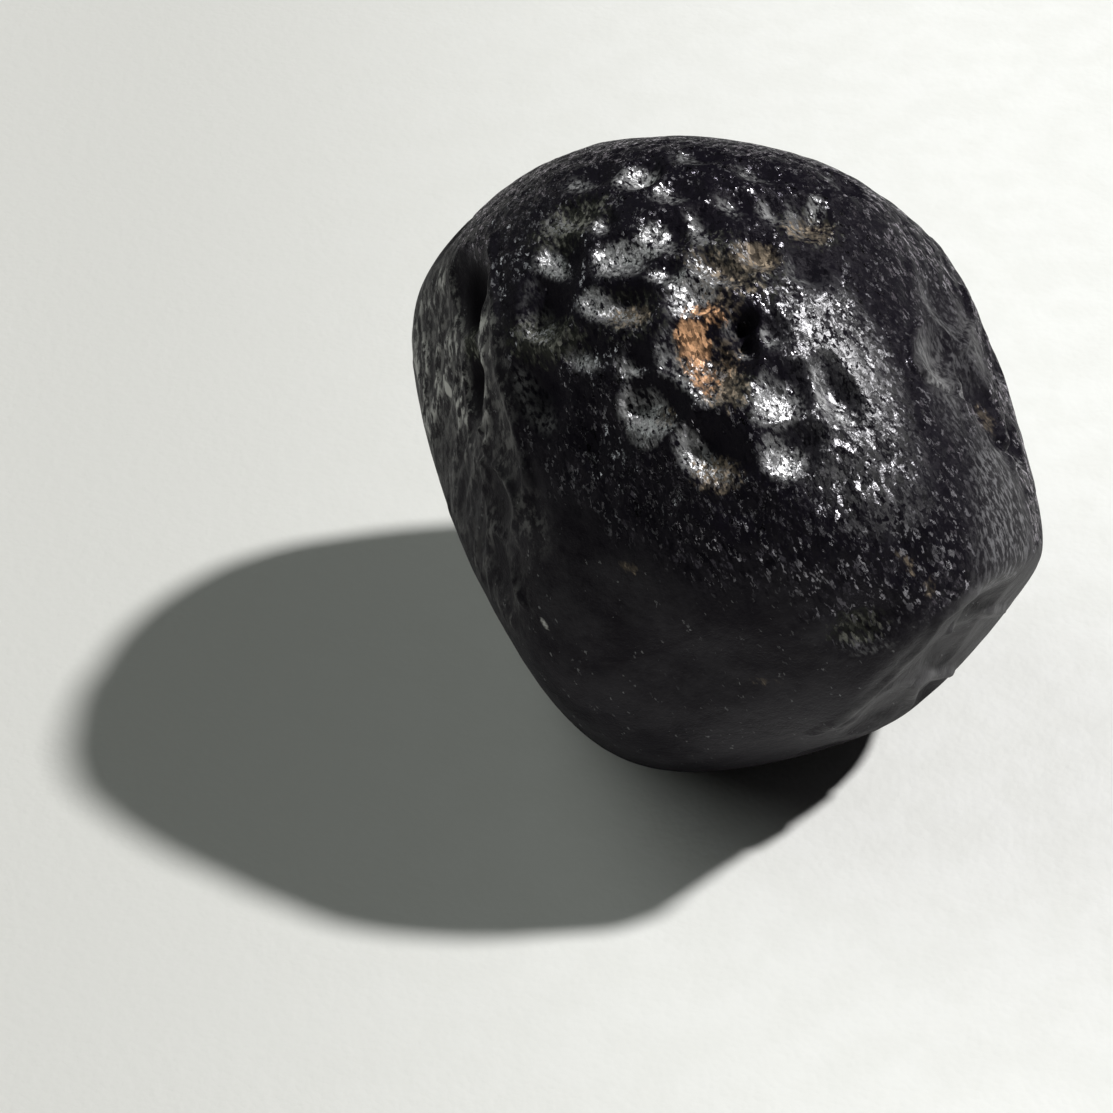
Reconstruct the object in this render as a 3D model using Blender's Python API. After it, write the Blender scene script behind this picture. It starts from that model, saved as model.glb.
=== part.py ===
"""A black mineral nodule, rolled smooth and covered in thumbprint cups, as one closed solid.

The surface is one function of direction: how far it lies from the stone's middle. A rounded
pebble comes first, worn flat on named sides. Cups, flutes, scars and hollows are then dented in,
and where two overlap the deeper one wins, which leaves a sharp ridge between them.
Tables are in millimetres and degrees. The mesh is in metres, +Z up, standing on its worn foot.
"""

from collections import namedtuple
import math

import bpy
import bmesh
import numpy as np

MM = 0.001

# Driving dimensions, in millimetres.
MIDDLE_HEIGHT = 20.5
MIDDLE_SHIFT = -0.2
PEBBLE_HALF_AXES = (23.0, 22.4, 23.0)
FOOT_DISTANCE = 21.6

# Where the cups were looked at from: this far above the horizon on the -Y side, this far off,
# and this far to the right of the stone's middle and above it.
VIEW_ELEVATION = 40.0
VIEW_DISTANCE = 250.0
EYE_RIGHT = -11.0
EYE_UP = -6.4

# Fineness of the solid: squares along each side of the starting cube, how strongly they crowd
# towards the crown, and the share of the triangles that the thinning keeps.
GRID = 52
CROWDING = 0.22
CROWN_AZIMUTH = -95.0
CROWN_ELEVATION = 38.0
KEPT_SHARE = 0.29

Side = namedtuple("Side", "azimuth elevation distance")
Dent = namedtuple("Dent", "across up length width slant depth")
Place = namedtuple("Place", "centre along beside reach length width depth")

# Sides worn flat, each by the direction it faces and its distance from the middle.
SOFT_WEAR = 14.0
SOFT_SIDES = (
    Side(-7, 31, 18.1),      # right, above the valley
    Side(22, 8, 18.7),       # right edge
    Side(42, 40, 20.0),      # right, towards the back
    Side(-4, -14, 22.2),     # right bulge
    Side(90, 55, 20.7),      # behind the summit
    Side(66, 50, 20.8),      # right of the summit
    Side(138, 40, 23.8),     # left of the summit
    Side(-45, 58, 22.0),     # summit, towards the viewer
    Side(197, -19, 17.7),    # left, running in under the stone
    Side(-128, 24, 19.8),    # cupped face, left half
    Side(-95, -5, 20.2),     # front
    Side(-82, -42, 20.3),    # smooth lower front
    Side(-140, -42, 20.6),   # lower left
    Side(-25, -42, 21.4),    # lower right
    Side(-64, -46, 20.2),    # between the lower front and the chamfer
    Side(100, -5, 20.5),     # back
    Side(55, -10, 20.5),     # back, right
    Side(150, -25, 20.5),    # back, left
    Side(172, -14, 21.3),    # behind the left flank
    Side(0, -90, FOOT_DISTANCE),
)
CRISP_WEAR = 60.0
LEFT_FLANK = Side(200, 7, 17.8)
CHAMFER = Side(-44, -22, 19.1)

# Dents on the seen side. Across and up are where the viewer sees the middle of each one, from
# the stone's middle. Length and width are half of the real dent, slant turns its length. A cup
# shape of 1 is a round bowl and 0.5 is a cone, and MERGE is how sharply the deeper dent wins.
CUP_SHAPE = 0.68
RIM = 1.1
CUPS = (
    # Summit.
    Dent(-1.9, 18.9, 1.9, 1.2, 0, 0.5),
    Dent(1.9, 18.1, 1.9, 1.3, -10, 0.5),
    Dent(-5.5, 17.9, 1.7, 1.6, 10, 1.1),
    Dent(-3.2, 16.8, 1.4, 1.5, 10, 0.6),
    Dent(-8.9, 17.5, 1.9, 1.5, 10, 0.5),
    # Crown, left of the stained cups.
    Dent(-10.2, 14.7, 2.3, 1.9, 15, 0.7),
    Dent(-10.7, 12.3, 2.1, 1.6, -10, 1.0),
    Dent(-6.6, 13.0, 1.8, 1.6, 0, 0.75),
    Dent(-4.6, 11.8, 1.5, 1.1, 0, 0.6),
    Dent(-4.3, 14.2, 1.6, 1.6, 0, 0.75),
    Dent(-7.6, 14.8, 1.1, 1.0, 0, 0.6),
    Dent(-6.8, 9.7, 2.2, 1.6, -10, 0.85),
    Dent(-11.5, 9.7, 2.5, 2.3, 0, 1.2),
    Dent(-12.1, 4.3, 2.9, 1.9, -80, 1.1),
    Dent(-8.9, 6.5, 1.9, 1.5, -20, 0.5),
    Dent(-5.7, 5.8, 1.9, 1.5, -20, 0.5),
    # Crown, right of the stained cups.
    Dent(-1.9, 14.6, 1.8, 1.7, 0, 0.7),
    Dent(0.3, 15.9, 1.7, 1.4, 0, 0.6),
    Dent(2.9, 15.6, 1.4, 1.4, 0, 0.6),
    Dent(5.1, 15.3, 2.2, 1.9, 20, 1.0),
    Dent(5.2, 12.2, 1.7, 1.6, -30, 0.6),
    Dent(2.5, 7.6, 1.5, 1.4, 0, 0.7),
    # Stained cups and the deep pit between them.
    Dent(1.7, 13.1, 1.8, 1.3, -10, 0.8),
    Dent(-0.8, 12.1, 2.6, 1.6, -25, 0.9),
    Dent(-2.3, 10.0, 2.2, 1.7, -20, 0.9),
    Dent(-1.6, 6.2, 3.7, 2.7, -65, 1.5),
    Dent(0.2, 8.0, 1.9, 1.3, 25, 1.9),
    Dent(0.5, 7.0, 1.5, 1.2, -70, 1.7),
    # Bright group in front.
    Dent(-4.8, 2.8, 2.3, 2.1, -30, 1.3),
    Dent(-1.1, 0.1, 2.9, 2.1, -10, 1.3),
    Dent(3.3, 3.9, 2.2, 2.0, 0, 1.1),
    Dent(6.5, 4.2, 2.4, 1.7, -60, 1.1),
    Dent(4.2, 0.6, 2.0, 1.9, 0, 1.1),
    # Hollow of the right side with the creased valley below it.
    Dent(13.7, 5.9, 2.5, 3.3, -75, 1.2),
    Dent(13.4, 9.7, 2.6, 2.4, -75, 0.6),
    Dent(17.0, 6.0, 2.3, 2.2, -75, 0.9),
    Dent(16.0, 3.4, 4.6, 2.2, -46, 1.2),
    Dent(18.4, 0.8, 2.0, 1.6, -50, 1.1),
    Dent(7.4, 17.5, 1.7, 1.4, -30, 0.6),
)
BROAD_RIM = 1.5
BROAD_HOLLOWS = (
    Dent(-8.4, 1.6, 2.8, 2.3, -45, 0.6),
    Dent(-4.8, -2.9, 2.5, 2.2, -25, 0.4),
    Dent(0.6, -3.5, 2.5, 2.2, -25, 0.4),
    Dent(7.0, -1.6, 2.5, 2.2, -25, 0.4),
    Dent(11.1, -6.7, 1.9, 1.9, 0, 0.4),
    Dent(8.6, -10.5, 3.4, 2.7, 20, 0.8),
    Dent(-2.5, -13.5, 8.0, 4.5, 10, 0.5),
)
SCAR_RIM = 1.0
SCARS = (
    # Flutes and scars down the left flank.
    Dent(-17.0, 10.7, 2.8, 3.3, 80, 2.0),
    Dent(-16.5, 5.0, 2.9, 2.2, -75, 1.5),
    Dent(-14.4, 1.0, 4.1, 1.7, -72, 0.5),
    Dent(-14.9, -2.8, 2.6, 2.0, -70, 0.8),
    Dent(-12.2, -2.5, 2.4, 0.9, -75, 0.35),
    Dent(-14.6, -7.6, 2.6, 1.9, -70, 0.7),
    # Chips along the chamfer.
    Dent(15.8, -9.6, 2.3, 4.0, 40, 0.8),
    Dent(13.7, -12.2, 2.2, 4.5, 45, 0.9),
    Dent(12.7, -15.0, 1.5, 2.4, 45, 0.7),
    Dent(9.6, -16.4, 2.6, 3.5, 35, 0.6),
    Dent(6.3, -18.3, 2.2, 2.6, 25, 0.4),
)
MERGE = 8.0

# Cups on the hidden side follow a rule: an even spiral, jittered, deep in a patch over the upper
# back and fading out to the right and towards the foot, which are smooth. HIDDEN_FROM is how far
# a ray may lean towards the viewer and still be hidden, SUMMIT_REACH lets it lean on top, and
# FLANK_COSINE keeps the cups off the left flank.
SPIRAL_COUNT = 300
SPIRAL_SEED = 11
SPIRAL_JITTER = 0.05
HIDDEN_SIZE = (1.4, 2.8)
HIDDEN_SHAPE = (0.7, 1.0)
HIDDEN_DEPTH_SHARE = 0.32
HIDDEN_FROM = 0.12
SUMMIT_REACH = 0.2
PATCH_AZIMUTH = 140.0
PATCH_ELEVATION = 35.0
PATCH_FULL = 0.35
PATCH_NONE = -0.35
FLANK_COSINE = 0.7

# Low swells over the whole stone, each a wave along its own direction.
SWELL_SEED = 4
SWELL_COUNT = 7
SWELL_HEIGHT = 0.12
SWELL_WAVES = (3.5, 7.5)

# The dents are read along slightly bent rays, so that no outline stays a true ellipse.
BEND_SEED = 9
BEND_COUNT = 5
BEND_SIZE = 0.008
BEND_WAVES = (14.0, 26.0)

# A dent only reaches rays whose cosine with its own ray is above this.
NEAR_COSINE = 0.2
SIGHT_STEPS = 20
HALF_TURN = 180.0
CUTTER_SHARE = 4.0

BLACK = (0.018, 0.018, 0.021, 1.0)
SATIN = 0.38


def direction(azimuth, elevation):
    """Unit vector that faces an azimuth from +X and an elevation above the horizon."""
    a, e = math.radians(azimuth), math.radians(elevation)
    return np.array([math.cos(a) * math.cos(e), math.sin(a) * math.cos(e), math.sin(e)])


TOWARD_VIEWER = direction(-90, VIEW_ELEVATION)
VIEW_RIGHT = direction(0, 0)
VIEW_UP = direction(90, 90 - VIEW_ELEVATION)


def worn_distance(rays):
    """Distance to the pebble along each unit ray: a smooth least of the ellipsoid and its sides.

    Each side's plane lies distance / cosine away. The soft least comes from adding inverse
    distances to a power; the two crisp sides then join with a higher power, so they keep an edge.
    """
    total = np.linalg.norm(rays / np.array(PEBBLE_HALF_AXES), axis=1) ** SOFT_WEAR
    for side in SOFT_SIDES:
        cosine = np.maximum(rays @ direction(side.azimuth, side.elevation), 0.0)
        total += (cosine / side.distance) ** SOFT_WEAR
    total = total ** (CRISP_WEAR / SOFT_WEAR)
    for side in (LEFT_FLANK, CHAMFER):
        cosine = np.maximum(rays @ direction(side.azimuth, side.elevation), 0.0)
        total += (cosine / side.distance) ** CRISP_WEAR
    return total ** (-1.0 / CRISP_WEAR)


def seen_ray(across, up):
    """Ray to the surface point that the viewer sees at a place across and up from the middle."""
    eye = EYE_RIGHT * VIEW_RIGHT + EYE_UP * VIEW_UP
    spot = across * VIEW_RIGHT + up * VIEW_UP
    depth = MIDDLE_HEIGHT / 2
    for _ in range(SIGHT_STEPS):
        flat = spot + (eye - spot) * depth / VIEW_DISTANCE - MIDDLE_SHIFT * VIEW_RIGHT
        point = flat + depth * TOWARD_VIEWER
        reach = worn_distance(point[None] / np.linalg.norm(point))[0]
        depth = math.sqrt(max(reach ** 2 - flat @ flat, 0.0))
    return point / np.linalg.norm(point)


def place(centre, slant, length, width, depth):
    """Place a dent: its ray, its two directions along the surface, its reach and its size."""
    turn = math.radians(slant)
    along = math.cos(turn) * VIEW_RIGHT + math.sin(turn) * VIEW_UP
    along = along - (along @ centre) * centre
    along /= np.linalg.norm(along)
    reach = worn_distance(centre[None])[0]
    return Place(centre, along, np.cross(centre, along), reach, length, width, depth)


def place_seen(dents):
    return [place(seen_ray(d.across, d.up), d.slant, d.length, d.width, d.depth) for d in dents]


def place_hidden():
    """Cups on the far side, on a golden-angle spiral over the ball with a seeded jitter."""
    random = np.random.default_rng(SPIRAL_SEED)
    step = np.arange(SPIRAL_COUNT)
    height = 1.0 - (2.0 * step + 1.0) / SPIRAL_COUNT
    turn = step * math.pi * (3.0 - math.sqrt(5.0))
    ring = np.sqrt(1.0 - height ** 2)
    spots = np.stack([ring * np.cos(turn), ring * np.sin(turn), height], axis=1)
    spots += random.normal(0.0, SPIRAL_JITTER, spots.shape)
    spots /= np.linalg.norm(spots, axis=1, keepdims=True)
    sizes = random.uniform(*HIDDEN_SIZE, SPIRAL_COUNT)
    slants = random.uniform(0.0, HALF_TURN, SPIRAL_COUNT)
    shapes = random.uniform(*HIDDEN_SHAPE, SPIRAL_COUNT)
    patch_cosine = spots @ direction(PATCH_AZIMUTH, PATCH_ELEVATION)
    in_patch = (patch_cosine - PATCH_NONE) / (PATCH_FULL - PATCH_NONE)
    limits = HIDDEN_FROM + SUMMIT_REACH * np.maximum(spots @ VIEW_UP, 0.0)
    off_flank = spots @ direction(LEFT_FLANK.azimuth, LEFT_FLANK.elevation) < FLANK_COSINE
    hidden = (spots @ TOWARD_VIEWER < limits) & (in_patch > 0.0) & off_flank
    places = []
    for i in np.flatnonzero(hidden):
        width = sizes[i] * shapes[i]
        depth = HIDDEN_DEPTH_SHARE * width * min(in_patch[i], 1.0)
        places.append(place(spots[i], slants[i], sizes[i], width, depth))
    return places


def bowl(rays, spot):
    """1 - q ** shape inside the dent and 0 outside it, q the squared distance from its middle in
    half lengths and half widths, measured across its own plane."""
    cosine = np.maximum(rays @ spot.centre, NEAR_COSINE)
    length_ways = (rays @ spot.along) / cosine * spot.reach / spot.length
    width_ways = (rays @ spot.beside) / cosine * spot.reach / spot.width
    inside = np.maximum(1.0 - (length_ways ** 2 + width_ways ** 2) ** CUP_SHAPE, 0.0)
    return inside * ((rays @ spot.centre) > NEAR_COSINE)


def dented(rays, places, rim):
    """Soft greatest of depth x bowl ** rim over the dents, by adding them to a power."""
    total = np.zeros(len(rays))
    for spot in places:
        total += (spot.depth * bowl(rays, spot) ** rim) ** MERGE
    return total ** (1.0 / MERGE)


def waves(rays, random, count, pace):
    """Sum of sine waves over the rays, each along its own random direction."""
    total = np.zeros(len(rays))
    for _ in range(count):
        axis = random.normal(size=3)
        axis /= np.linalg.norm(axis)
        start = random.uniform(0.0, 2.0 * math.pi)
        total += np.sin(random.uniform(*pace) * (rays @ axis) + start)
    return total


def bent(rays):
    """The rays, each pushed a little way by three independent sets of waves."""
    random = np.random.default_rng(BEND_SEED)
    push = np.stack([waves(rays, random, BEND_COUNT, BEND_WAVES) for _ in range(3)], axis=1)
    pushed = rays + BEND_SIZE * push
    return pushed / np.linalg.norm(pushed, axis=1, keepdims=True)


def surface_distance(rays):
    """Distance from the stone's middle to its dented surface, in millimetres."""
    nearby = bent(rays)
    cups = dented(nearby, place_seen(CUPS) + place_hidden(), RIM)
    scars = dented(nearby, place_seen(SCARS), SCAR_RIM)
    hollows = dented(nearby, place_seen(BROAD_HOLLOWS), BROAD_RIM)
    swells = SWELL_HEIGHT * waves(rays, np.random.default_rng(SWELL_SEED), SWELL_COUNT, SWELL_WAVES)
    return worn_distance(rays) + swells - np.maximum(cups, scars) - hollows


def clear_scene():
    for item in list(bpy.data.objects):
        bpy.data.objects.remove(item, do_unlink=True)


def stone_material():
    material = bpy.data.materials.new("black mineral")
    material.use_nodes = True
    shader = material.node_tree.nodes["Principled BSDF"]
    shader.inputs["Base Color"].default_value = BLACK
    shader.inputs["Roughness"].default_value = SATIN
    shader.inputs["Metallic"].default_value = 0.0
    return material


def blown_cube():
    """A cube cut into a grid, its corners moved out to the stone's surface."""
    form = bmesh.new()
    bmesh.ops.create_cube(form, size=2.0)
    bmesh.ops.subdivide_edges(form, edges=form.edges[:], cuts=GRID - 1, use_grid_fill=True)
    corners = np.array([corner.co for corner in form.verts])
    rays = np.tan(corners * math.pi / 4)
    rays /= np.linalg.norm(rays, axis=1, keepdims=True)
    rays += CROWDING * direction(CROWN_AZIMUTH, CROWN_ELEVATION)
    rays /= np.linalg.norm(rays, axis=1, keepdims=True)
    middle = np.array([MIDDLE_SHIFT, 0.0, MIDDLE_HEIGHT])
    points = MM * (middle + rays * surface_distance(rays)[:, None])
    for corner, point in zip(form.verts, points):
        corner.co = point
    return form


def foot_cutter():
    """A wide block whose top is the floor: it trims the stone's underside to a flat foot."""
    size = CUTTER_SHARE * MIDDLE_HEIGHT * MM
    mesh = bpy.data.meshes.new("foot cutter")
    block = bmesh.new()
    bmesh.ops.create_cube(block, size=size)
    bmesh.ops.translate(block, verts=block.verts, vec=(0.0, 0.0, -size / 2))
    block.to_mesh(mesh)
    block.free()
    cutter = bpy.data.objects.new("foot_cutter", mesh)
    cutter.hide_render = True
    cutter.display_type = 'WIRE'
    bpy.context.scene.collection.objects.link(cutter)
    return cutter


def build_stone():
    form = blown_cube()
    mesh = bpy.data.meshes.new("stone")
    form.to_mesh(mesh)
    form.free()
    mesh.shade_smooth()
    mesh.materials.append(stone_material())
    stone = bpy.data.objects.new("stone", mesh)
    bpy.context.scene.collection.objects.link(stone)
    thinning = stone.modifiers.new("fewer triangles where it is plain", 'DECIMATE')
    thinning.ratio = KEPT_SHARE
    trim = stone.modifiers.new("flat foot", 'BOOLEAN')
    trim.operation = 'DIFFERENCE'
    trim.solver = 'EXACT'
    trim.object = foot_cutter()
    return stone


clear_scene()
build_stone()
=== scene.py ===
# %% [markdown]
# The object is one black mineral nodule about 40 mm across, rolled smooth by water, with thumbprint
# cups pressed into its crown and rust in a few of them. The imported solid is loaded first, and the
# finished stone later takes its place.

# %% Load the imported stone
from collections import namedtuple
import itertools
import math

import bpy
import numpy as np
from mathutils import Matrix, Vector


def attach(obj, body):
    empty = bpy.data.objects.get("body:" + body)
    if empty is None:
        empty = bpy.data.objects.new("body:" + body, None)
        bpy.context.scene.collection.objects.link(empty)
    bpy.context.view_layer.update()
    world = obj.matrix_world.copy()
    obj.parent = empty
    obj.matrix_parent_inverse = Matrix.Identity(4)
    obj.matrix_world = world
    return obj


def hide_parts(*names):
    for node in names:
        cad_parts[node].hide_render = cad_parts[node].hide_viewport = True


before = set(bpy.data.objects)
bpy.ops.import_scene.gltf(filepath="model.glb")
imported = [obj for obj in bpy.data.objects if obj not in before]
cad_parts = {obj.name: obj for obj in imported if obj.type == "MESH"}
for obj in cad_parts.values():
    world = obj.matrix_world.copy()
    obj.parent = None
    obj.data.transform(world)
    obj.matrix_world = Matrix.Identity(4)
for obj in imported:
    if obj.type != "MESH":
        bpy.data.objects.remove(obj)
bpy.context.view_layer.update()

# %% [markdown]
# A small thing on a table is looked at from close by, so the camera stands 250 mm away and looks
# down at 40 degrees. Parts further from the middle of the picture are seen a little from the side.
# Two ways give that framing: a shifted lens, or an eye that stands off to the left and below. The
# second is used, because a shift would stay with the camera when it moves round the stone.

# %% Camera
MM = 0.001
VIEW_ELEVATION = 40.0
VIEW_DISTANCE = 250.0
EYE_RIGHT = -11.0
EYE_UP = -6.4
MIDDLE_HEIGHT = 20.5
PICTURE_WIDTH = 70.7
SENSOR_WIDTH = 36.0
NEAR_CLIP = 10.0


def direction(azimuth, elevation):
    """Unit vector that faces an azimuth from +X and an elevation above the horizon, in degrees."""
    a, e = math.radians(azimuth), math.radians(elevation)
    return np.array([math.cos(a) * math.cos(e), math.sin(a) * math.cos(e), math.sin(e)])


TOWARD_VIEWER = direction(-90, VIEW_ELEVATION)
VIEW_RIGHT = direction(0, 0)
VIEW_UP = direction(90, 90 - VIEW_ELEVATION)

eye = np.array([0.0, 0.0, MIDDLE_HEIGHT]) + VIEW_DISTANCE * TOWARD_VIEWER
eye += EYE_RIGHT * VIEW_RIGHT + EYE_UP * VIEW_UP
camera_data = bpy.data.cameras.new("camera")
camera_data.lens = SENSOR_WIDTH * VIEW_DISTANCE / PICTURE_WIDTH
camera_data.sensor_width = SENSOR_WIDTH
camera_data.clip_start = NEAR_CLIP * MM
camera = bpy.data.objects.new("camera", camera_data)
axes = Matrix((VIEW_RIGHT, VIEW_UP, TOWARD_VIEWER)).transposed().to_4x4()
camera.matrix_world = Matrix.Translation(Vector(eye * MM)) @ axes
bpy.context.scene.collection.objects.link(camera)
bpy.context.scene.camera = camera
print("camera lens, mm:", round(camera_data.lens, 1))

# %% [markdown]
# The stone's form is one formula, so every point of it can be asked for: along a ray from the
# middle, how far out is the surface? First comes the rolled pebble without its cups. A sculpted
# mesh could give it too, but a formula can be sampled as finely as the finish needs and keeps the
# same form as the solid. An egg shape is worn flat on named sides: each side is a plane, and the
# nearest plane wins. A high power makes that choice soft, so the sides run into each other.

# %% The worn pebble
MIDDLE_SHIFT = -0.2
PEBBLE_HALF_AXES = (23.0, 22.4, 23.0)
FOOT_DISTANCE = 21.6
Side = namedtuple("Side", "azimuth elevation distance")
SOFT_WEAR = 14.0
SOFT_SIDES = (
    Side(-7, 31, 18.1),      # right, above the valley
    Side(22, 8, 18.7),       # right edge
    Side(42, 40, 20.0),      # right, towards the back
    Side(-4, -14, 22.2),     # right bulge
    Side(90, 55, 20.7),      # behind the summit
    Side(66, 50, 20.8),      # right of the summit
    Side(138, 40, 23.8),     # left of the summit
    Side(-45, 58, 22.0),     # summit, towards the viewer
    Side(197, -19, 17.7),    # left, running in under the stone
    Side(-128, 24, 19.8),    # cupped face, left half
    Side(-95, -5, 20.2),     # front
    Side(-82, -42, 20.3),    # smooth lower front
    Side(-140, -42, 20.6),   # lower left
    Side(-25, -42, 21.4),    # lower right
    Side(-64, -46, 20.2),    # between the lower front and the chamfer
    Side(100, -5, 20.5),     # back
    Side(55, -10, 20.5),     # back, right
    Side(150, -25, 20.5),    # back, left
    Side(172, -14, 21.3),    # behind the left flank
    Side(0, -90, FOOT_DISTANCE),
)
CRISP_WEAR = 60.0
LEFT_FLANK = Side(200, 7, 17.8)
CHAMFER = Side(-44, -22, 19.1)
CRISP_SIDES = (LEFT_FLANK, CHAMFER)


def side_cosine(rays, side):
    """Cosine between each ray and the way that a side faces, and 0 for rays that lead away."""
    return np.maximum(rays @ direction(side.azimuth, side.elevation), 0.0)


def worn_distance(rays):
    """Distance to the pebble along each unit ray: a smooth least of the ellipsoid and its sides.

    Each side's plane lies distance / cosine away. The soft least comes from adding inverse
    distances to a power; the two crisp sides then join with a higher power, so they keep an edge.
    """
    total = np.linalg.norm(rays / np.array(PEBBLE_HALF_AXES), axis=1) ** SOFT_WEAR
    for side in SOFT_SIDES:
        total += (side_cosine(rays, side) / side.distance) ** SOFT_WEAR
    total = total ** (CRISP_WEAR / SOFT_WEAR)
    for side in CRISP_SIDES:
        total += (side_cosine(rays, side) / side.distance) ** CRISP_WEAR
    return total ** (-1.0 / CRISP_WEAR)


def smooth_step(values):
    """0 below 0, 1 above 1, and 3v^2 - 2v^3 between."""
    v = np.clip(values, 0.0, 1.0)
    return v * v * (3.0 - 2.0 * v)


def share_of_side(rays, side, soft):
    """From 0 to 1: whether the pebble's surface at each ray lies on one worn side's plane."""
    height = side_cosine(rays, side) * worn_distance(rays) / side.distance
    return smooth_step((height - 1.0 + soft) / soft)


print("worn sides:", len(SOFT_SIDES + CRISP_SIDES))

# %% [markdown]
# Cups, flutes and scars are bowls pressed into that surface. Each is listed by where the viewer
# sees it, in millimetres across and up from the middle, and with its real half length, half width,
# slant and depth. The cups come first, because the thumbprints are what the stone is known by.

# %% Cups of the seen side
Dent = namedtuple("Dent", "across up length width slant depth")
CUPS = (
    # Summit.
    Dent(-1.9, 18.9, 1.9, 1.2, 0, 0.5),
    Dent(1.9, 18.1, 1.9, 1.3, -10, 0.5),
    Dent(-5.5, 17.9, 1.7, 1.6, 10, 1.1),
    Dent(-3.2, 16.8, 1.4, 1.5, 10, 0.6),
    Dent(-8.9, 17.5, 1.9, 1.5, 10, 0.5),
    # Crown, left of the stained cups.
    Dent(-10.2, 14.7, 2.3, 1.9, 15, 0.7),
    Dent(-10.7, 12.3, 2.1, 1.6, -10, 1.0),
    Dent(-6.6, 13.0, 1.8, 1.6, 0, 0.75),
    Dent(-4.6, 11.8, 1.5, 1.1, 0, 0.6),
    Dent(-4.3, 14.2, 1.6, 1.6, 0, 0.75),
    Dent(-7.6, 14.8, 1.1, 1.0, 0, 0.6),
    Dent(-6.8, 9.7, 2.2, 1.6, -10, 0.85),
    Dent(-11.5, 9.7, 2.5, 2.3, 0, 1.2),
    Dent(-12.1, 4.3, 2.9, 1.9, -80, 1.1),
    Dent(-8.9, 6.5, 1.9, 1.5, -20, 0.5),
    Dent(-5.7, 5.8, 1.9, 1.5, -20, 0.5),
    # Crown, right of the stained cups.
    Dent(-1.9, 14.6, 1.8, 1.7, 0, 0.7),
    Dent(0.3, 15.9, 1.7, 1.4, 0, 0.6),
    Dent(2.9, 15.6, 1.4, 1.4, 0, 0.6),
    Dent(5.1, 15.3, 2.2, 1.9, 20, 1.0),
    Dent(5.2, 12.2, 1.7, 1.6, -30, 0.6),
    Dent(2.5, 7.6, 1.5, 1.4, 0, 0.7),
    # Stained cups and the deep pit between them.
    Dent(1.7, 13.1, 1.8, 1.3, -10, 0.8),
    Dent(-0.8, 12.1, 2.6, 1.6, -25, 0.9),
    Dent(-2.3, 10.0, 2.2, 1.7, -20, 0.9),
    Dent(-1.6, 6.2, 3.7, 2.7, -65, 1.5),
    Dent(0.2, 8.0, 1.9, 1.3, 25, 1.9),
    Dent(0.5, 7.0, 1.5, 1.2, -70, 1.7),
    # Bright group in front.
    Dent(-4.8, 2.8, 2.3, 2.1, -30, 1.3),
    Dent(-1.1, 0.1, 2.9, 2.1, -10, 1.3),
    Dent(3.3, 3.9, 2.2, 2.0, 0, 1.1),
    Dent(6.5, 4.2, 2.4, 1.7, -60, 1.1),
    Dent(4.2, 0.6, 2.0, 1.9, 0, 1.1),
    # Hollow of the right side with the creased valley below it.
    Dent(13.7, 5.9, 2.5, 3.3, -75, 1.2),
    Dent(13.4, 9.7, 2.6, 2.4, -75, 0.6),
    Dent(17.0, 6.0, 2.3, 2.2, -75, 0.9),
    Dent(16.0, 3.4, 4.6, 2.2, -46, 1.2),
    Dent(18.4, 0.8, 2.0, 1.6, -50, 1.1),
    Dent(7.4, 17.5, 1.7, 1.4, -30, 0.6),
)
print("cups placed by sight:", len(CUPS), "the deepest, mm:", max(cup.depth for cup in CUPS))

# %% [markdown]
# Two more lists take the other dents: broad, shallow hollows between the cups and on the lower
# front, and the flutes, scars and chips of the two flat sides.

# %% Hollows, flutes, scars and chips
BROAD_HOLLOWS = (
    Dent(-8.4, 1.6, 2.8, 2.3, -45, 0.6),
    Dent(-4.8, -2.9, 2.5, 2.2, -25, 0.4),
    Dent(0.6, -3.5, 2.5, 2.2, -25, 0.4),
    Dent(7.0, -1.6, 2.5, 2.2, -25, 0.4),
    Dent(11.1, -6.7, 1.9, 1.9, 0, 0.4),
    Dent(8.6, -10.5, 3.4, 2.7, 20, 0.8),
    Dent(-2.5, -13.5, 8.0, 4.5, 10, 0.5),
)
SCARS = (
    # Flutes and scars down the left flank.
    Dent(-17.0, 10.7, 2.8, 3.3, 80, 2.0),
    Dent(-16.5, 5.0, 2.9, 2.2, -75, 1.5),
    Dent(-14.4, 1.0, 4.1, 1.7, -72, 0.5),
    Dent(-14.9, -2.8, 2.6, 2.0, -70, 0.8),
    Dent(-12.2, -2.5, 2.4, 0.9, -75, 0.35),
    Dent(-14.6, -7.6, 2.6, 1.9, -70, 0.7),
    # Chips along the chamfer.
    Dent(15.8, -9.6, 2.3, 4.0, 40, 0.8),
    Dent(13.7, -12.2, 2.2, 4.5, 45, 0.9),
    Dent(12.7, -15.0, 1.5, 2.4, 45, 0.7),
    Dent(9.6, -16.4, 2.6, 3.5, 35, 0.6),
    Dent(6.3, -18.3, 2.2, 2.6, 25, 0.4),
)
print("hollows:", len(BROAD_HOLLOWS), "flutes, scars and chips:", len(SCARS))

# %% [markdown]
# A place in the viewer's picture has to become a place on the stone, so a line of sight is followed
# until it meets the pebble. How deep that is gets guessed and corrected some twenty times, which is
# simpler than solving for it. There the dent gets two directions of its own along the surface.

# %% Where a seen place lies on the stone
SIGHT_STEPS = 20
Place = namedtuple("Place", "centre along beside reach length width depth")


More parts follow.
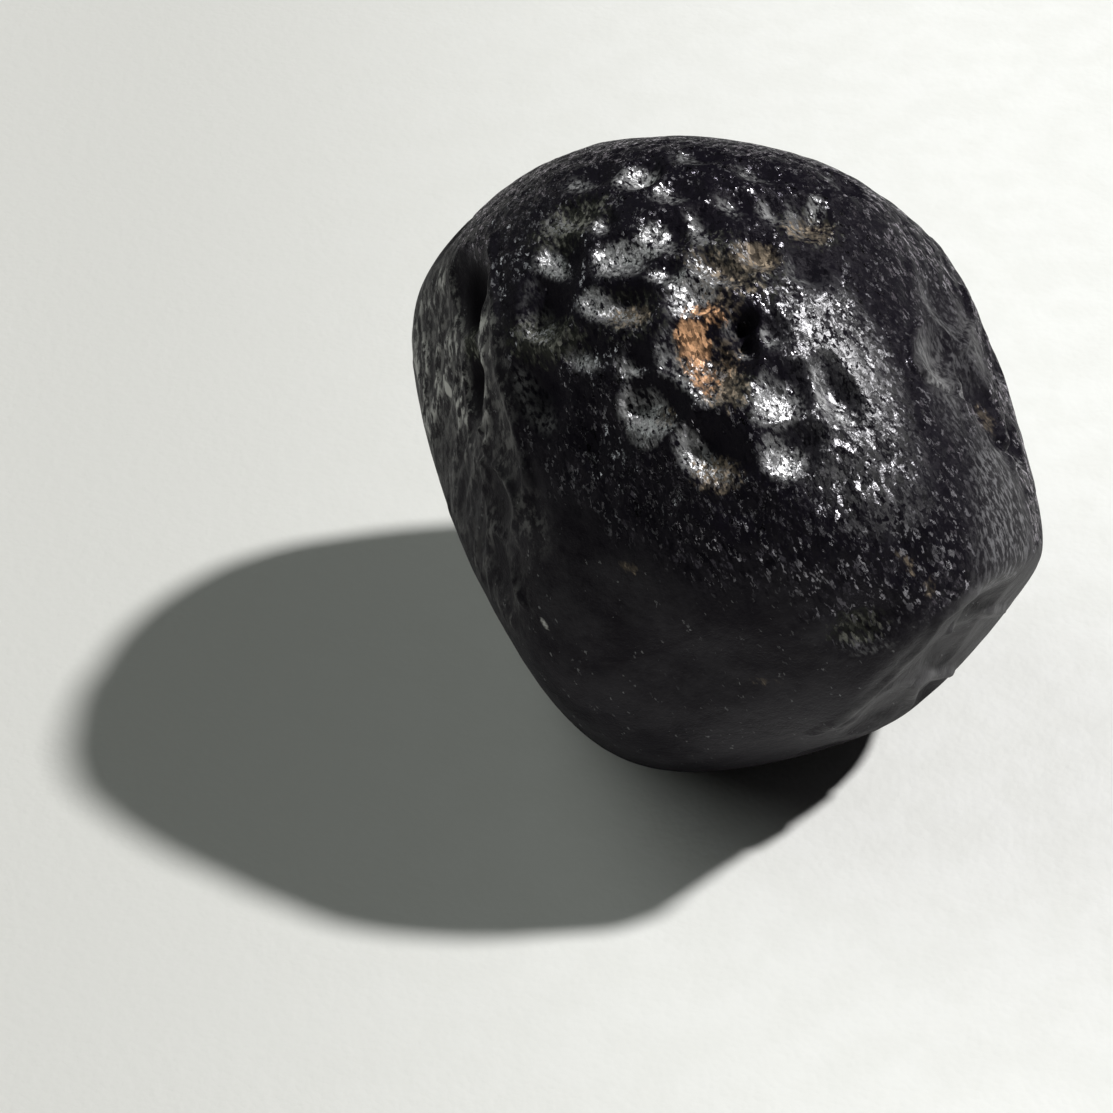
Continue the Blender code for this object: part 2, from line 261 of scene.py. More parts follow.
def seen_ray(across, up):
    """Ray to the surface point that the viewer sees at a place across and up from the middle."""
    sight = EYE_RIGHT * VIEW_RIGHT + EYE_UP * VIEW_UP
    spot = across * VIEW_RIGHT + up * VIEW_UP
    depth = MIDDLE_HEIGHT / 2
    for _ in range(SIGHT_STEPS):
        flat = spot + (sight - spot) * depth / VIEW_DISTANCE - MIDDLE_SHIFT * VIEW_RIGHT
        point = flat + depth * TOWARD_VIEWER
        reach = worn_distance(point[None] / np.linalg.norm(point))[0]
        depth = math.sqrt(max(reach ** 2 - flat @ flat, 0.0))
    return point / np.linalg.norm(point)


def place(centre, slant, length, width, depth):
    """Place a dent: its ray, its two directions along the surface, its reach and its size."""
    turn = math.radians(slant)
    along = math.cos(turn) * VIEW_RIGHT + math.sin(turn) * VIEW_UP
    along = along - (along @ centre) * centre
    along /= np.linalg.norm(along)
    reach = worn_distance(centre[None])[0]
    return Place(centre, along, np.cross(centre, along), reach, length, width, depth)


def place_seen(dents):
    return [place(seen_ray(d.across, d.up), d.slant, d.length, d.width, d.depth) for d in dents]


print("the first cup faces:", place_seen(CUPS[:1])[0].centre.round(2).tolist())

# %% [markdown]
# Where bowls overlap the deeper one wins, which leaves the ridges between thumbprints. Blender
# could cut them with Booleans, but dozens of overlapping cuts leave slivers, and the formula leaves
# a clean, even mesh. Adding the depths to a high power takes the greatest softly, so the ridges
# are a little rounded, as on a worn stone. A higher rim power gives a dent a gentler edge.

# %% Press the dents in
CUP_SHAPE = 0.68
NEAR_COSINE = 0.2
MERGE = 8.0
RIM = 1.1
BROAD_RIM = 1.5
SCAR_RIM = 1.0


def bowl(rays, spot):
    """1 - q ** shape inside the dent and 0 outside it, q the squared distance from its middle in
    half lengths and half widths, measured across its own plane."""
    cosine = np.maximum(rays @ spot.centre, NEAR_COSINE)
    length_ways = (rays @ spot.along) / cosine * spot.reach / spot.length
    width_ways = (rays @ spot.beside) / cosine * spot.reach / spot.width
    inside = np.maximum(1.0 - (length_ways ** 2 + width_ways ** 2) ** CUP_SHAPE, 0.0)
    return inside * ((rays @ spot.centre) > NEAR_COSINE)


def dented(rays, places, rim):
    """Soft greatest of depth x bowl ** rim over the dents, by adding them to a power."""
    total = np.zeros(len(rays))
    for spot in places:
        total += (spot.depth * bowl(rays, spot) ** rim) ** MERGE
    return total ** (1.0 / MERGE)


def in_spots(rays, dents, rim):
    """From 0 to 1: how far each ray lies inside the nearest of some listed soft ovals."""
    return np.minimum(dented(rays, place_seen(dents), rim), 1.0)


print("rim powers of cups, hollows and scars:", RIM, BROAD_RIM, SCAR_RIM)

# %% [markdown]
# The far side isn't seen, so its cups follow a rule instead: a golden-angle spiral spreads spots
# evenly over a ball, a seeded jitter breaks the rows, and a patch on the upper back keeps them.

# %% Cups of the hidden side
SPIRAL_COUNT = 300
SPIRAL_SEED = 11
SPIRAL_JITTER = 0.05
HIDDEN_SIZE = (1.4, 2.8)
HIDDEN_SHAPE = (0.7, 1.0)
HIDDEN_DEPTH_SHARE = 0.32
HIDDEN_FROM = 0.12
SUMMIT_REACH = 0.2
PATCH_AZIMUTH = 140.0
PATCH_ELEVATION = 35.0
PATCH_FULL = 0.35
PATCH_NONE = -0.35
FLANK_COSINE = 0.7
HALF_TURN = 180.0


def spiral(count, random, jitter):
    """Unit rays on a golden-angle spiral, evenly spread over the ball and pushed by a jitter."""
    step = np.arange(count)
    height = 1.0 - (2.0 * step + 1.0) / count
    turn = step * math.pi * (3.0 - math.sqrt(5.0))
    ring = np.sqrt(1.0 - height ** 2)
    spots = np.stack([ring * np.cos(turn), ring * np.sin(turn), height], axis=1)
    spots += random.normal(0.0, jitter, spots.shape)
    return spots / np.linalg.norm(spots, axis=1, keepdims=True)


def in_hidden_patch(rays):
    """From 0 to 1: how far each ray lies in the cupped patch over the upper back."""
    patch_cosine = rays @ direction(PATCH_AZIMUTH, PATCH_ELEVATION)
    return np.clip((patch_cosine - PATCH_NONE) / (PATCH_FULL - PATCH_NONE), 0.0, 1.0)


def is_hidden(rays):
    """Whether each ray leans away from the viewer, with some allowance at the summit."""
    limits = HIDDEN_FROM + SUMMIT_REACH * np.maximum(rays @ VIEW_UP, 0.0)
    on_flank = side_cosine(rays, LEFT_FLANK) > FLANK_COSINE
    return (rays @ TOWARD_VIEWER < limits) & ~on_flank


def place_hidden():
    """Cups on the spiral's spots that are hidden and in the patch, shallower towards its edge."""
    random = np.random.default_rng(SPIRAL_SEED)
    spots = spiral(SPIRAL_COUNT, random, SPIRAL_JITTER)
    sizes = random.uniform(*HIDDEN_SIZE, SPIRAL_COUNT)
    slants = random.uniform(0.0, HALF_TURN, SPIRAL_COUNT)
    shapes = random.uniform(*HIDDEN_SHAPE, SPIRAL_COUNT)
    in_patch = in_hidden_patch(spots)
    places = []
    for i in np.flatnonzero(is_hidden(spots) & (in_patch > 0.0)):
        width = sizes[i] * shapes[i]
        depth = HIDDEN_DEPTH_SHARE * width * in_patch[i]
        places.append(place(spots[i], slants[i], sizes[i], width, depth))
    return places


hidden_cups = place_hidden()
print("cups placed by rule:", len(hidden_cups))

# %% [markdown]
# A river stone is never an exact formula: low swells run over it, and no cup is a true ellipse.
# Sine waves along random directions give both, once as height and once as a push on the rays.

# %% Swells and bent outlines
SWELL_SEED = 4
SWELL_COUNT = 7
SWELL_HEIGHT = 0.12
SWELL_WAVES = (3.5, 7.5)
BEND_SEED = 9
BEND_COUNT = 5
BEND_SIZE = 0.008
BEND_WAVES = (14.0, 26.0)


def waves(rays, random, count, pace):
    """Sum of sine waves over the rays, each along its own random direction."""
    total = np.zeros(len(rays))
    for _ in range(count):
        axis = random.normal(size=3)
        axis /= np.linalg.norm(axis)
        start = random.uniform(0.0, 2.0 * math.pi)
        total += np.sin(random.uniform(*pace) * (rays @ axis) + start)
    return total


def bent(rays):
    """The rays, each pushed a little way by three independent sets of waves."""
    random = np.random.default_rng(BEND_SEED)
    push = np.stack([waves(rays, random, BEND_COUNT, BEND_WAVES) for _ in range(3)], axis=1)
    pushed = rays + BEND_SIZE * push
    return pushed / np.linalg.norm(pushed, axis=1, keepdims=True)


print("waves in the swells:", SWELL_COUNT, "and in each push:", BEND_COUNT)

# %% [markdown]
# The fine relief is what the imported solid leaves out: a skin of small lumps, pin-sized pits on the
# crown, scales down the left flank, and thin crests and creases. Displacement on a subdivided mesh
# could do it, but here it is added to the same distance, so it stays one surface. Most of it is
# smooth noise, laid down in layers that each have a share, a cell size and a seed.

# %% Smooth noise on a lattice
TABLE = 24
Layer = namedtuple("Layer", "share cell seed")


def lattice_noise(points, cell, seed):
    """Smooth noise from -1 to 1: random values on a turned cubic lattice, blended between its
    corners by the smooth step."""
    random = np.random.default_rng(seed)
    turned = points @ np.linalg.qr(random.normal(size=(3, 3)))[0]
    values = random.uniform(-1.0, 1.0, (TABLE, TABLE, TABLE))
    spots = turned / cell
    base = np.floor(spots).astype(int)
    blend = smooth_step(spots - base)
    total = np.zeros(len(points))
    for corner in itertools.product((0, 1), repeat=3):
        weight = np.prod(np.where(corner, blend, 1.0 - blend), axis=1)
        index = (base + corner) % TABLE
        total += weight * values[index[:, 0], index[:, 1], index[:, 2]]
    return total


def ridged(points, cell, seed):
    """Noise folded at zero, so that it has sharp crests: 1 - 2 x its size."""
    return 1.0 - 2.0 * np.abs(lattice_noise(points, cell, seed))


def layered(kind, points, layers):
    """Sum of share x noise of one kind over the layers."""
    return sum(layer.share * kind(points, layer.cell, layer.seed) for layer in layers)


def raised(least, share):
    """From least to 1 as the share goes from 0 to 1: least + (1 - least) x share."""
    return least + (1.0 - least) * share


print("values in a lattice:", TABLE ** 3)

# %% [markdown]
# Two sorts of skin show. The crown is glossy and grainy; the lower front, the left flank and the
# chamfer are matt and smooth. So is the right hollow, the cheek round it is fibrous and mostly matt,
# and one rough patch lies low on the right. One mask from 0 to 1, worked out per point, says which
# is which. Noise makes its border ragged, most of all on the far side.

# %% Where the stone is grainy
GRAINY_SIDE = direction(0, 70)
GRAINY_EDGE = 0.24
GRAINY_SOFT = 0.3
RAGGED = (Layer(0.08, 0.2, 21), Layer(0.05, 0.06, 22))
RAGGED_AWAY = (Layer(0.4, 0.45, 23),)
AWAY_SOFT = 0.5
FLANK_SOFT = 0.06
CHAMFER_SOFT = 0.03
SKIN_RIM = 0.7
FIBROUS_SHARE = 0.75
ROUGH_SPOTS = (
    Dent(8.6, -11.2, 3.0, 2.2, 15, 1.0),
)
FIBROUS_SPOTS = (
    Dent(17.2, -3.4, 6.2, 5.4, -85, 1.4),
    Dent(14.0, 3.0, 3.0, 2.6, -45, 0.8),
    Dent(14.3, 7.4, 5.2, 4.6, -62, 0.8),
)
SMOOTH_SPOTS = (
    Dent(13.3, 5.9, 2.7, 3.2, -75, 0.8),
    Dent(15.5, 7.2, 3.4, 1.9, -75, 0.7),
)


def graininess(rays):
    """1 on the upper part of the stone, 0 on its lower part, its two flat sides and its right
    hollow, ragged in between."""
    away = smooth_step(0.5 - rays @ TOWARD_VIEWER / AWAY_SOFT)
    ragged = layered(lattice_noise, rays, RAGGED) + away * layered(lattice_noise, rays, RAGGED_AWAY)
    upper = smooth_step((rays @ GRAINY_SIDE - GRAINY_EDGE + ragged) / GRAINY_SOFT + 0.5)
    flank = share_of_side(rays, LEFT_FLANK, FLANK_SOFT)
    chamfer = share_of_side(rays, CHAMFER, CHAMFER_SOFT)
    smooth = in_spots(rays, SMOOTH_SPOTS, SKIN_RIM)
    fibrous = FIBROUS_SHARE * in_spots(rays, FIBROUS_SPOTS, SKIN_RIM)
    rough = in_spots(rays, ROUGH_SPOTS, SKIN_RIM)
    return np.maximum(upper, rough) * (1.0 - np.maximum.reduce([flank, chamfer, smooth, fibrous]))


print("spots that change the skin:", len(ROUGH_SPOTS + FIBROUS_SPOTS + SMOOTH_SPOTS))

# %% [markdown]
# Crests and creases are drawn as lines over the seen surface and given a width and a height. The
# worn ones, in the right hollow and along the chamfer, are kept in a list of their own, because
# they also carry a painted highlight in their colour.

# %% Crests and creases
Line = namedtuple("Line", "spots width height")
LINES = (
    # Crest between the left flank and the crown, and the wavy one left of it.
    Line(((-15.2, 14.0), (-14.9, 9.8), (-14.6, 5.4), (-13.7, 2.2), (-12.7, -2.2)), 0.7, 0.25),
    Line(((-18.4, 9.8), (-17.7, 6.7), (-17.1, 4.8), (-16.5, 2.9), (-15.6, 1.0), (-15.4, 0.0)), 0.5, 0.25),
    # Outlines of two scale-shaped lobes lower on the flank.
    Line(((-15.7, -0.4), (-14.8, -0.8), (-14.1, -1.9), (-13.6, -3.4), (-13.8, -4.6), (-14.6, -5.0)),
         0.5, 0.3),
    Line(((-15.1, -5.7), (-14.3, -6.7), (-13.8, -8.3), (-13.2, -9.5)), 0.5, 0.3),
    # Crease under the hollow of the right side.
    Line(((12.4, 4.9), (13.7, 4.4), (15.2, 3.7), (16.0, 2.0), (17.3, 1.0), (18.3, -0.1)), 0.7, -0.6),
)
WORN_LINES = (
    # Rim of the lower bowl of the right hollow, two fine ridges in it and the ridge right of it.
    Line(((12.4, 8.4), (11.6, 7.4), (11.5, 6.0), (12.2, 4.8), (13.4, 4.1)), 0.5, 0.3),
    Line(((12.9, 7.6), (12.3, 6.6), (12.6, 5.4), (13.5, 4.7)), 0.3, 0.15),
    Line(((13.6, 7.2), (13.1, 6.3), (13.5, 5.3)), 0.3, 0.15),
    Line(((14.9, 10.6), (15.4, 8.6), (14.9, 6.9), (14.2, 4.4)), 0.5, 0.35),
    # Inner edge of the chamfer and its curved ledges.
    Line(((15.3, -8.7), (13.3, -10.3), (12.2, -12.0), (10.2, -14.2), (8.2, -16.2), (5.5, -17.9)), 0.9, 0.3),
    Line(((13.2, -12.0), (14.0, -11.1), (15.2, -10.2), (16.4, -9.9), (17.6, -10.1)), 0.8, 0.35),
    Line(((11.4, -15.6), (11.8, -14.6), (12.7, -13.9), (14.0, -13.8)), 0.8, 0.35),
    Line(((9.4, -15.4), (10.3, -14.8), (11.5, -14.6)), 0.6, 0.2),
    Line(((6.8, -17.6), (8.0, -17.0), (9.6, -16.9)), 0.6, 0.2),
)


def line_relief(points, lines):
    """Ridges over the lines: height x the smooth step of 1 - distance / width, 0 beyond it."""
    total = np.zeros(len(points))
    for line in lines:
        rays = np.array([seen_ray(*spot) for spot in line.spots])
        knots = rays * worn_distance(rays)[:, None]
        nearest = np.full(len(points), np.inf)
        for start, end in zip(knots[:-1], knots[1:]):
            step = end - start
            share = np.clip((points - start) @ step / (step @ step), 0.0, 1.0)
            nearest = np.minimum(nearest, np.linalg.norm(points - start - share[:, None] * step, axis=1))
        total += line.height * smooth_step(1.0 - nearest / line.width)
    return total


print("lines drawn:", len(LINES + WORN_LINES))

# %% [markdown]
# Lumps and scales are layers of the lattice noise. Folding a layer at zero gives it sharp crests,
# which is what the long scales of the left flank need. They leave out its flutes and the sleek
# tongue between them. Sizes are in millimetres, like everything else here.

# %% Lumps and scales
SKIN_HEIGHT = 0.05
SKIN_LEAST = 0.45
LUMPS = (Layer(1.0, 1.5, 41), Layer(0.6, 0.8, 42))
FLUTE_DEPTH = 0.6
SLEEK_SPOTS = (
    Dent(-14.3, 2.4, 4.9, 2.6, -70, 1.3),
    Dent(-12.9, -4.0, 3.0, 2.0, -70, 1.0),
)
SCALE_HEIGHT = 0.16
SCALE_LEVEL = 1.2
SCALE_LEAST = 0.2
SCALE_SQUEEZE = np.array([1.0, 1.0, 0.4])
SCALE_LAYERS = (Layer(1.0, 1.2, 43), Layer(0.5, 0.55, 44))


def flank_scales(points):
    """Long scales with sharp edges, in two sizes: folded noise on points squeezed in height."""
    return layered(ridged, points * SCALE_SQUEEZE, SCALE_LAYERS) - SCALE_LEVEL


def scaly(rays):
    """From 0 to 1: where the left flank is scaly, which is outside its flutes and its sleek tongue."""
    flutes = dented(bent(rays), place_seen(SCARS), SCAR_RIM) / FLUTE_DEPTH
    sleek = in_spots(rays, SLEEK_SPOTS, RIM)
    flank = share_of_side(rays, LEFT_FLANK, FLANK_SOFT)
    return flank * (1.0 - np.minimum(np.maximum(flutes, sleek), 1.0))


def fine_relief(rays, reach, grainy):
    """Lumps of the skin, scales of the left flank and the drawn lines, in millimetres."""
    points = rays * reach[:, None]
    skin = SKIN_HEIGHT * layered(lattice_noise, points, LUMPS) * raised(SKIN_LEAST, grainy)
    scales = SCALE_HEIGHT * flank_scales(points) * raised(SCALE_LEAST, scaly(rays))
    scales *= share_of_side(rays, LEFT_FLANK, FLANK_SOFT)
    return skin + scales + line_relief(points, LINES + WORN_LINES)


print("noise layers:", len(LUMPS + SCALE_LAYERS))

# %% [markdown]
# Now the surface is put together: the pebble and its swells, less the cups, scars and hollows, with
# the fine relief added and the pin-sized pits taken off. Last, a level plane cuts the foot flat.

# %% The whole surface
PIT_COUNT = 2600
PIT_SEED = 31
PIT_JITTER = 0.02
PIT_SIZE = (0.35, 0.8)
PIT_DEPTH_SHARE = 0.16
PIT_LEAST_GRAIN = 0.5
LEAST_FALL = 1e-6


def place_pits():
    """Pin-sized pits on a spiral of their own, each with its own size."""
    random = np.random.default_rng(PIT_SEED)
    spots = spiral(PIT_COUNT, random, PIT_JITTER)
    sizes = random.uniform(*PIT_SIZE, PIT_COUNT)
    kept = graininess(spots) > PIT_LEAST_GRAIN
    return [place(s, 0.0, r, r, PIT_DEPTH_SHARE * r) for s, r in zip(spots[kept], sizes[kept])]


def surface(rays):
    """Distance from the stone's middle to its surface along each ray, and how grainy it is."""
    nearby = bent(rays)
    cups = dented(nearby, place_seen(CUPS) + hidden_cups, RIM)
    scars = dented(nearby, place_seen(SCARS), SCAR_RIM)
    hollows = dented(nearby, place_seen(BROAD_HOLLOWS), BROAD_RIM)
    swells = SWELL_HEIGHT * waves(rays, np.random.default_rng(SWELL_SEED), SWELL_COUNT, SWELL_WAVES)
    depth = np.maximum(cups, scars) + hollows
    grainy = graininess(rays)
    reach = worn_distance(rays) + swells - depth
    reach += fine_relief(rays, reach, grainy) - dented(nearby, place_pits(), RIM)
    floor_reach = MIDDLE_HEIGHT / np.maximum(-rays[:, 2], LEAST_FALL)
    return np.minimum(reach, floor_reach), grainy


print("pits on their spiral:", PIT_COUNT)

# %% [markdown]
# Colour follows the light here. The cup walls that look to the upper right, towards the lamp,
# get a painted highlight, and those across from them get painted shade. Both are worked out per
# point, from how fast the cups deepen or rise towards the upper right, which a step to either side
# along that way measures.

# %% Painted highlight and shade on the cup walls
# The way towards the lamp, as the viewer sees it: cup walls that deepen along it get painted highlight.
HIGHLIGHT_WAY = 0.8 * VIEW_RIGHT + 0.6 * VIEW_UP
WALL_STEP = 0.015
HIGHLIGHT_SLOPE = (-0.1, 0.5)
WALL_DEPTH = 0.35
SHADE_SLOPE = 0.4


def cup_walls(rays):
    """Two shares from 0 to 1: how steeply the cups deepen along the highlight's way, which gets
    painted highlight, and how steeply they rise along it, which gets painted shade. Both are 0
    outside the cups."""
    places = place_seen(CUPS) + hidden_cups
    depths = []
    for step in (WALL_STEP, -WALL_STEP):
        moved = rays + step * HIGHLIGHT_WAY
        moved /= np.linalg.norm(moved, axis=1, keepdims=True)
        depths.append(dented(bent(moved), places, RIM))
    slope = (depths[0] - depths[1]) / (2.0 * WALL_STEP * MIDDLE_HEIGHT)
    steep = smooth_step((slope - HIGHLIGHT_SLOPE[0]) / (HIGHLIGHT_SLOPE[1] - HIGHLIGHT_SLOPE[0]))
    inside = smooth_step((depths[0] + depths[1]) / (2.0 * WALL_DEPTH))
    return steep * inside, smooth_step(-slope / SHADE_SLOPE) * inside


print("the crust looks along:", HIGHLIGHT_WAY.round(2).tolist())

# %% [markdown]
# Pale wear and painted sheen follow the form too. The scales of the flank are pale on their
# crests, more so higher up, partly as painted reflection; the chamfer is grey as painted
# reflection, more so on its ledges, and the worn lines carry a painted highlight. It is worked out
# from the noises and lines that made the relief, so what stands out is pale.

# %% Pale wear and painted sheen
CREST_FROM = 0.35
CREST_LEAST = 0.25
UPPER_FROM = -0.1
UPPER_SOFT = 0.3
UPPER_LEAST = 0.2
SLEEK_PALE = 0.2
CHAMFER_SHEEN = 0.35
LEDGES = (Layer(1.0, 2.6, 45),)
LEDGE_LEAST = 0.5
LINE_SHEEN = 0.35
LINE_BREAKS = (Layer(1.0, 0.7, 46),)
WORN_HEIGHT = 0.3


def paleness(rays, reach):
    """From 0 to 1: crests of the left flank's scales, mostly its upper ones, and its sleek tongue;
    pale wear, partly painted reflection.
    """
    crests = smooth_step(flank_scales(rays * reach[:, None]) + SCALE_LEVEL - CREST_FROM)
    upper = smooth_step((rays @ VIEW_UP - UPPER_FROM) / UPPER_SOFT)
    worn = raised(UPPER_LEAST, upper) * scaly(rays) * raised(CREST_LEAST, crests)
    return np.maximum(worn, SLEEK_PALE * in_spots(rays, SLEEK_SPOTS, RIM))


def worn_and_sheen_grey(rays, reach):
    """From 0 to 1: painted reflection on the chamfer, paler on its ledges, and painted highlight along
    the worn lines, broken by noise.
    """
    points = rays * reach[:, None]
    ledges = smooth_step(layered(ridged, points, LEDGES))
    chamfer = CHAMFER_SHEEN * raised(LEDGE_LEAST, ledges) * share_of_side(rays, CHAMFER, CHAMFER_SOFT)
    broken = smooth_step(layered(lattice_noise, points, LINE_BREAKS) + 0.5)
    return chamfer + LINE_SHEEN * broken * line_relief(points, WORN_LINES) / WORN_HEIGHT


print("shares of pale wear:", SLEEK_PALE, CHAMFER_SHEEN, LINE_SHEEN)

# %% [markdown]
# A ball needs a grid without poles or seams. Six square grids on a cube's sides, blown out to the
# surface and joined along their edges, give squares of nearly one size everywhere. They crowd a
# little towards the crown, where the cups are.

# %% Rays of a ball
GRID = 127
CROWDING = 0.2
CROWN_AZIMUTH = -95
CROWN_ELEVATION = 38
SAME_DIGITS = 6


def cube_ball(grid):
    """Unit rays through a grid on each side of a cube, spaced by equal angles, and their squares."""
    step = np.tan(np.linspace(-math.pi / 4, math.pi / 4, grid + 1))
    u, v = np.meshgrid(step, step, indexing="ij")
    one = np.ones_like(u)
    sides = [(one, u, v), (-one, v, u), (v, one, u), (u, -one, v), (u, v, one), (v, u, -one)]
    corners = np.concatenate([np.stack(side, axis=-1).reshape(-1, 3) for side in sides])
    i, j = np.meshgrid(np.arange(grid), np.arange(grid), indexing="ij")
    first = (i * (grid + 1) + j).ravel()
    square = np.stack([first, first + grid + 1, first + grid + 2, first + 1], axis=1)
    squares = np.concatenate([square + k * (grid + 1) ** 2 for k in range(6)])
    rounded = np.round(corners, SAME_DIGITS)
    _, kept, index = np.unique(rounded, axis=0, return_index=True, return_inverse=True)
    rays = corners[kept] / np.linalg.norm(corners[kept], axis=1, keepdims=True)
    return rays, index.reshape(-1)[squares]


rays, squares = cube_ball(GRID)
rays += CROWDING * direction(CROWN_AZIMUTH, CROWN_ELEVATION)
rays /= np.linalg.norm(rays, axis=1, keepdims=True)
print("rays:", len(rays), "squares:", len(squares))

# %% [markdown]
# Each ray now gets its distance, and the points at those distances are the nodule. It takes the
# place of the imported stone and rides on its body. How grainy and how pale each point is, and where
# wear and painted sheen lie, gets stored with it, for the material.

# %% The nodule


def make_mesh(name, points, faces):
    """A smooth mesh from points in millimetres and faces, each a row of point numbers."""
    mesh = bpy.data.meshes.new(name)
    mesh.from_pydata((points * MM).tolist(), [], faces.tolist())
    mesh.shade_smooth()
    piece = bpy.data.objects.new(name, mesh)
    bpy.context.scene.collection.objects.link(piece)
    return piece


def paint(piece, name, values):
    """Store one number per point on a mesh, for its material to read."""
    layer = piece.data.attributes.new(name, 'FLOAT', 'POINT')
    layer.data.foreach_set("value", values.astype(np.float32))


reach, grainy = surface(rays)
middle = np.array([MIDDLE_SHIFT, 0.0, MIDDLE_HEIGHT])
points = middle + rays * reach[:, None]
nodule = make_mesh("nodule", points, squares)
paint(nodule, "grainy", grainy)
# Pale crests of the flank, paler higher up, partly painted reflection.
paint(nodule, "pale", paleness(rays, reach))
# Wear grey, with painted reflection on the chamfer and painted highlight along the worn lines.
paint(nodule, "worn", worn_and_sheen_grey(rays, reach))
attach(nodule, "root")
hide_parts("stone")
print("nodule triangles:", 2 * len(squares), "size, mm:", np.ptp(points, axis=0).round(2).tolist())

# %% [markdown]
# The stains sit in the cups: bright rust on the wall left of the deep pit, tan dust above and below
# it, and a greenish film, mostly on the left. Each is a listed soft oval, with an amount in place of
# a depth. Noise in the material frays it.

# %% Stains
STAIN_RIM = 0.6
RUST = (
    Dent(-2.4, 7.5, 1.8, 1.1, -72, 1.0),
    Dent(-1.6, 9.4, 1.6, 0.9, -20, 0.45),
    Dent(-1.9, 5.6, 2.2, 1.1, -60, 0.45),
    Dent(-0.2, 6.2, 1.9, 1.3, -65, 0.1),
)
TAN = (
    Dent(1.7, 12.9, 1.8, 1.3, -10, 0.9),
    Dent(5.1, 14.8, 2.0, 1.4, 20, 0.6),
    Dent(-0.3, 12.0, 3.0, 1.6, -25, 0.45),
    Dent(-6.5, 9.0, 1.6, 1.0, -10, 0.6),
    Dent(-0.9, -1.2, 1.9, 1.3, -10, 0.7),
    Dent(-4.3, 2.6, 1.1, 0.8, -10, 0.4),
    Dent(-6.5, -7.2, 0.9, 0.4, -10, 0.5),
    Dent(-0.6, 4.9, 2.4, 1.8, -60, 0.6),
    Dent(-0.2, 7.2, 1.6, 1.2, -40, 0.35),
    Dent(-2.3, 6.6, 2.6, 1.4, -70, 0.6),
    Dent(-1.0, 10.0, 2.4, 1.6, -40, 0.35),
    Dent(16.8, 2.3, 1.2, 0.9, -50, 0.4),
    Dent(2.2, -14.7, 1.2, 0.5, 10, 0.25),
    Dent(11.2, -6.8, 1.3, 0.5, -45, 0.4),
    Dent(12.6, -8.3, 0.9, 0.5, -70, 0.35),
)
MOSS = (
    Dent(-11.7, 7.4, 3.2, 1.8, -15, 0.8),
    Dent(-10.2, 14.9, 3.2, 2.0, 10, 0.7),
    Dent(-6.5, 9.0, 3.0, 2.0, -10, 0.4),
    Dent(0.4, 12.4, 4.4, 2.6, -20, 0.5),
    Dent(0.3, 4.4, 1.6, 1.6, 0, 0.7),
    Dent(-17.0, 7.6, 1.6, 1.2, 0, 0.7),
    Dent(5.1, 14.8, 2.6, 2.0, 20, 0.5),
    Dent(8.2, -11.0, 2.2, 1.6, 10, 0.6),
)
print("stained spots:", len(RUST + TAN + MOSS))

# %% [markdown]
# Other marks are placed in the same way: painted highlight on some cup floors besides the walls
# found by formula, a band of glitter down the right of the crown, dull places with painted shade,
# painted shade that turns the deepest hollows black, and two pale nicks.

# %% Painted highlight, glitter, dull places, painted shade and nicks
HIGHLIGHT_SPOTS = (
    Dent(-2.4, 10.9, 1.6, 1.3, 0, 1.8),
    Dent(-7.2, 12.6, 1.6, 1.3, 0, 1.8),
    Dent(-4.9, 13.9, 1.1, 1.3, 0, 1.8),
    Dent(-8.6, 9.6, 1.0, 1.2, 60, 1.4),
    Dent(-6.0, 17.7, 1.5, 1.3, 0, 1.2),
    Dent(-5.4, 2.4, 1.5, 1.9, 0, 1.1),
    Dent(2.9, 3.4, 2.0, 1.7, 0, 0.8),
    Dent(3.6, -0.4, 1.6, 1.2, 0, 0.9),
    Dent(9.2, -12.4, 1.6, 0.4, 15, 0.6),
    Dent(-2.8, 4.9, 0.8, 0.6, 0, 1.0),
    Dent(5.6, 16.0, 0.7, 1.1, 0, 0.8),
)
GLITTER = (
    Dent(7.4, 6.2, 8.4, 3.8, -66, 1.0),
    Dent(8.6, 0.2, 6.0, 4.5, -50, 0.6),
    Dent(8.6, -11.9, 2.2, 0.9, 10, 0.35),
)
# Dull places, and painted shade that darkens listed hollows and the pit.
DULL_AND_SHADE_SPOTS = (
    Dent(0.0, 15.6, 3.6, 1.7, -10, 0.6),
    Dent(5.4, 12.2, 2.2, 1.9, -30, 1.0),
    Dent(2.6, 7.3, 1.8, 1.3, 0, 0.2),
    Dent(-12.6, 9.8, 2.0, 1.8, 0, 1.0),
    Dent(-12.1, 3.8, 3.2, 2.2, -80, 1.0),
    Dent(0.4, 7.8, 1.8, 1.5, 0, 1.0),
    Dent(-3.9, 7.2, 3.6, 1.1, -85, 0.75),
    Dent(-1.3, 4.5, 1.8, 1.0, -35, 0.6),
)
# Painted shade: black in the deepest flutes and the cup below them.
DEEP_SHADE = (
    Dent(-17.0, 10.7, 2.6, 2.6, 80, 1.6),
    Dent(-16.5, 5.0, 2.6, 1.9, -75, 0.8),
    Dent(-12.1, 3.9, 2.9, 1.9, -80, 1.0),
)
NICKS = (
    Dent(-18.6, 4.4, 0.6, 0.6, 90, 1.0),
    Dent(-11.9, -10.8, 0.7, 0.25, -60, 0.6),
)
print("other spots:", len(HIGHLIGHT_SPOTS + GLITTER + DULL_AND_SHADE_SPOTS + DEEP_SHADE + NICKS))

# %% [markdown]
# Each mark is painted on the mesh as one number per point, which the material reads. An image
# would need an unwrapped surface; this needs none. Some marks keep off each other: the painted
# highlight lies neither on dull places nor on rust, the painted shade of the cup walls joins the
# dull places, and glitter lies on no dark place.

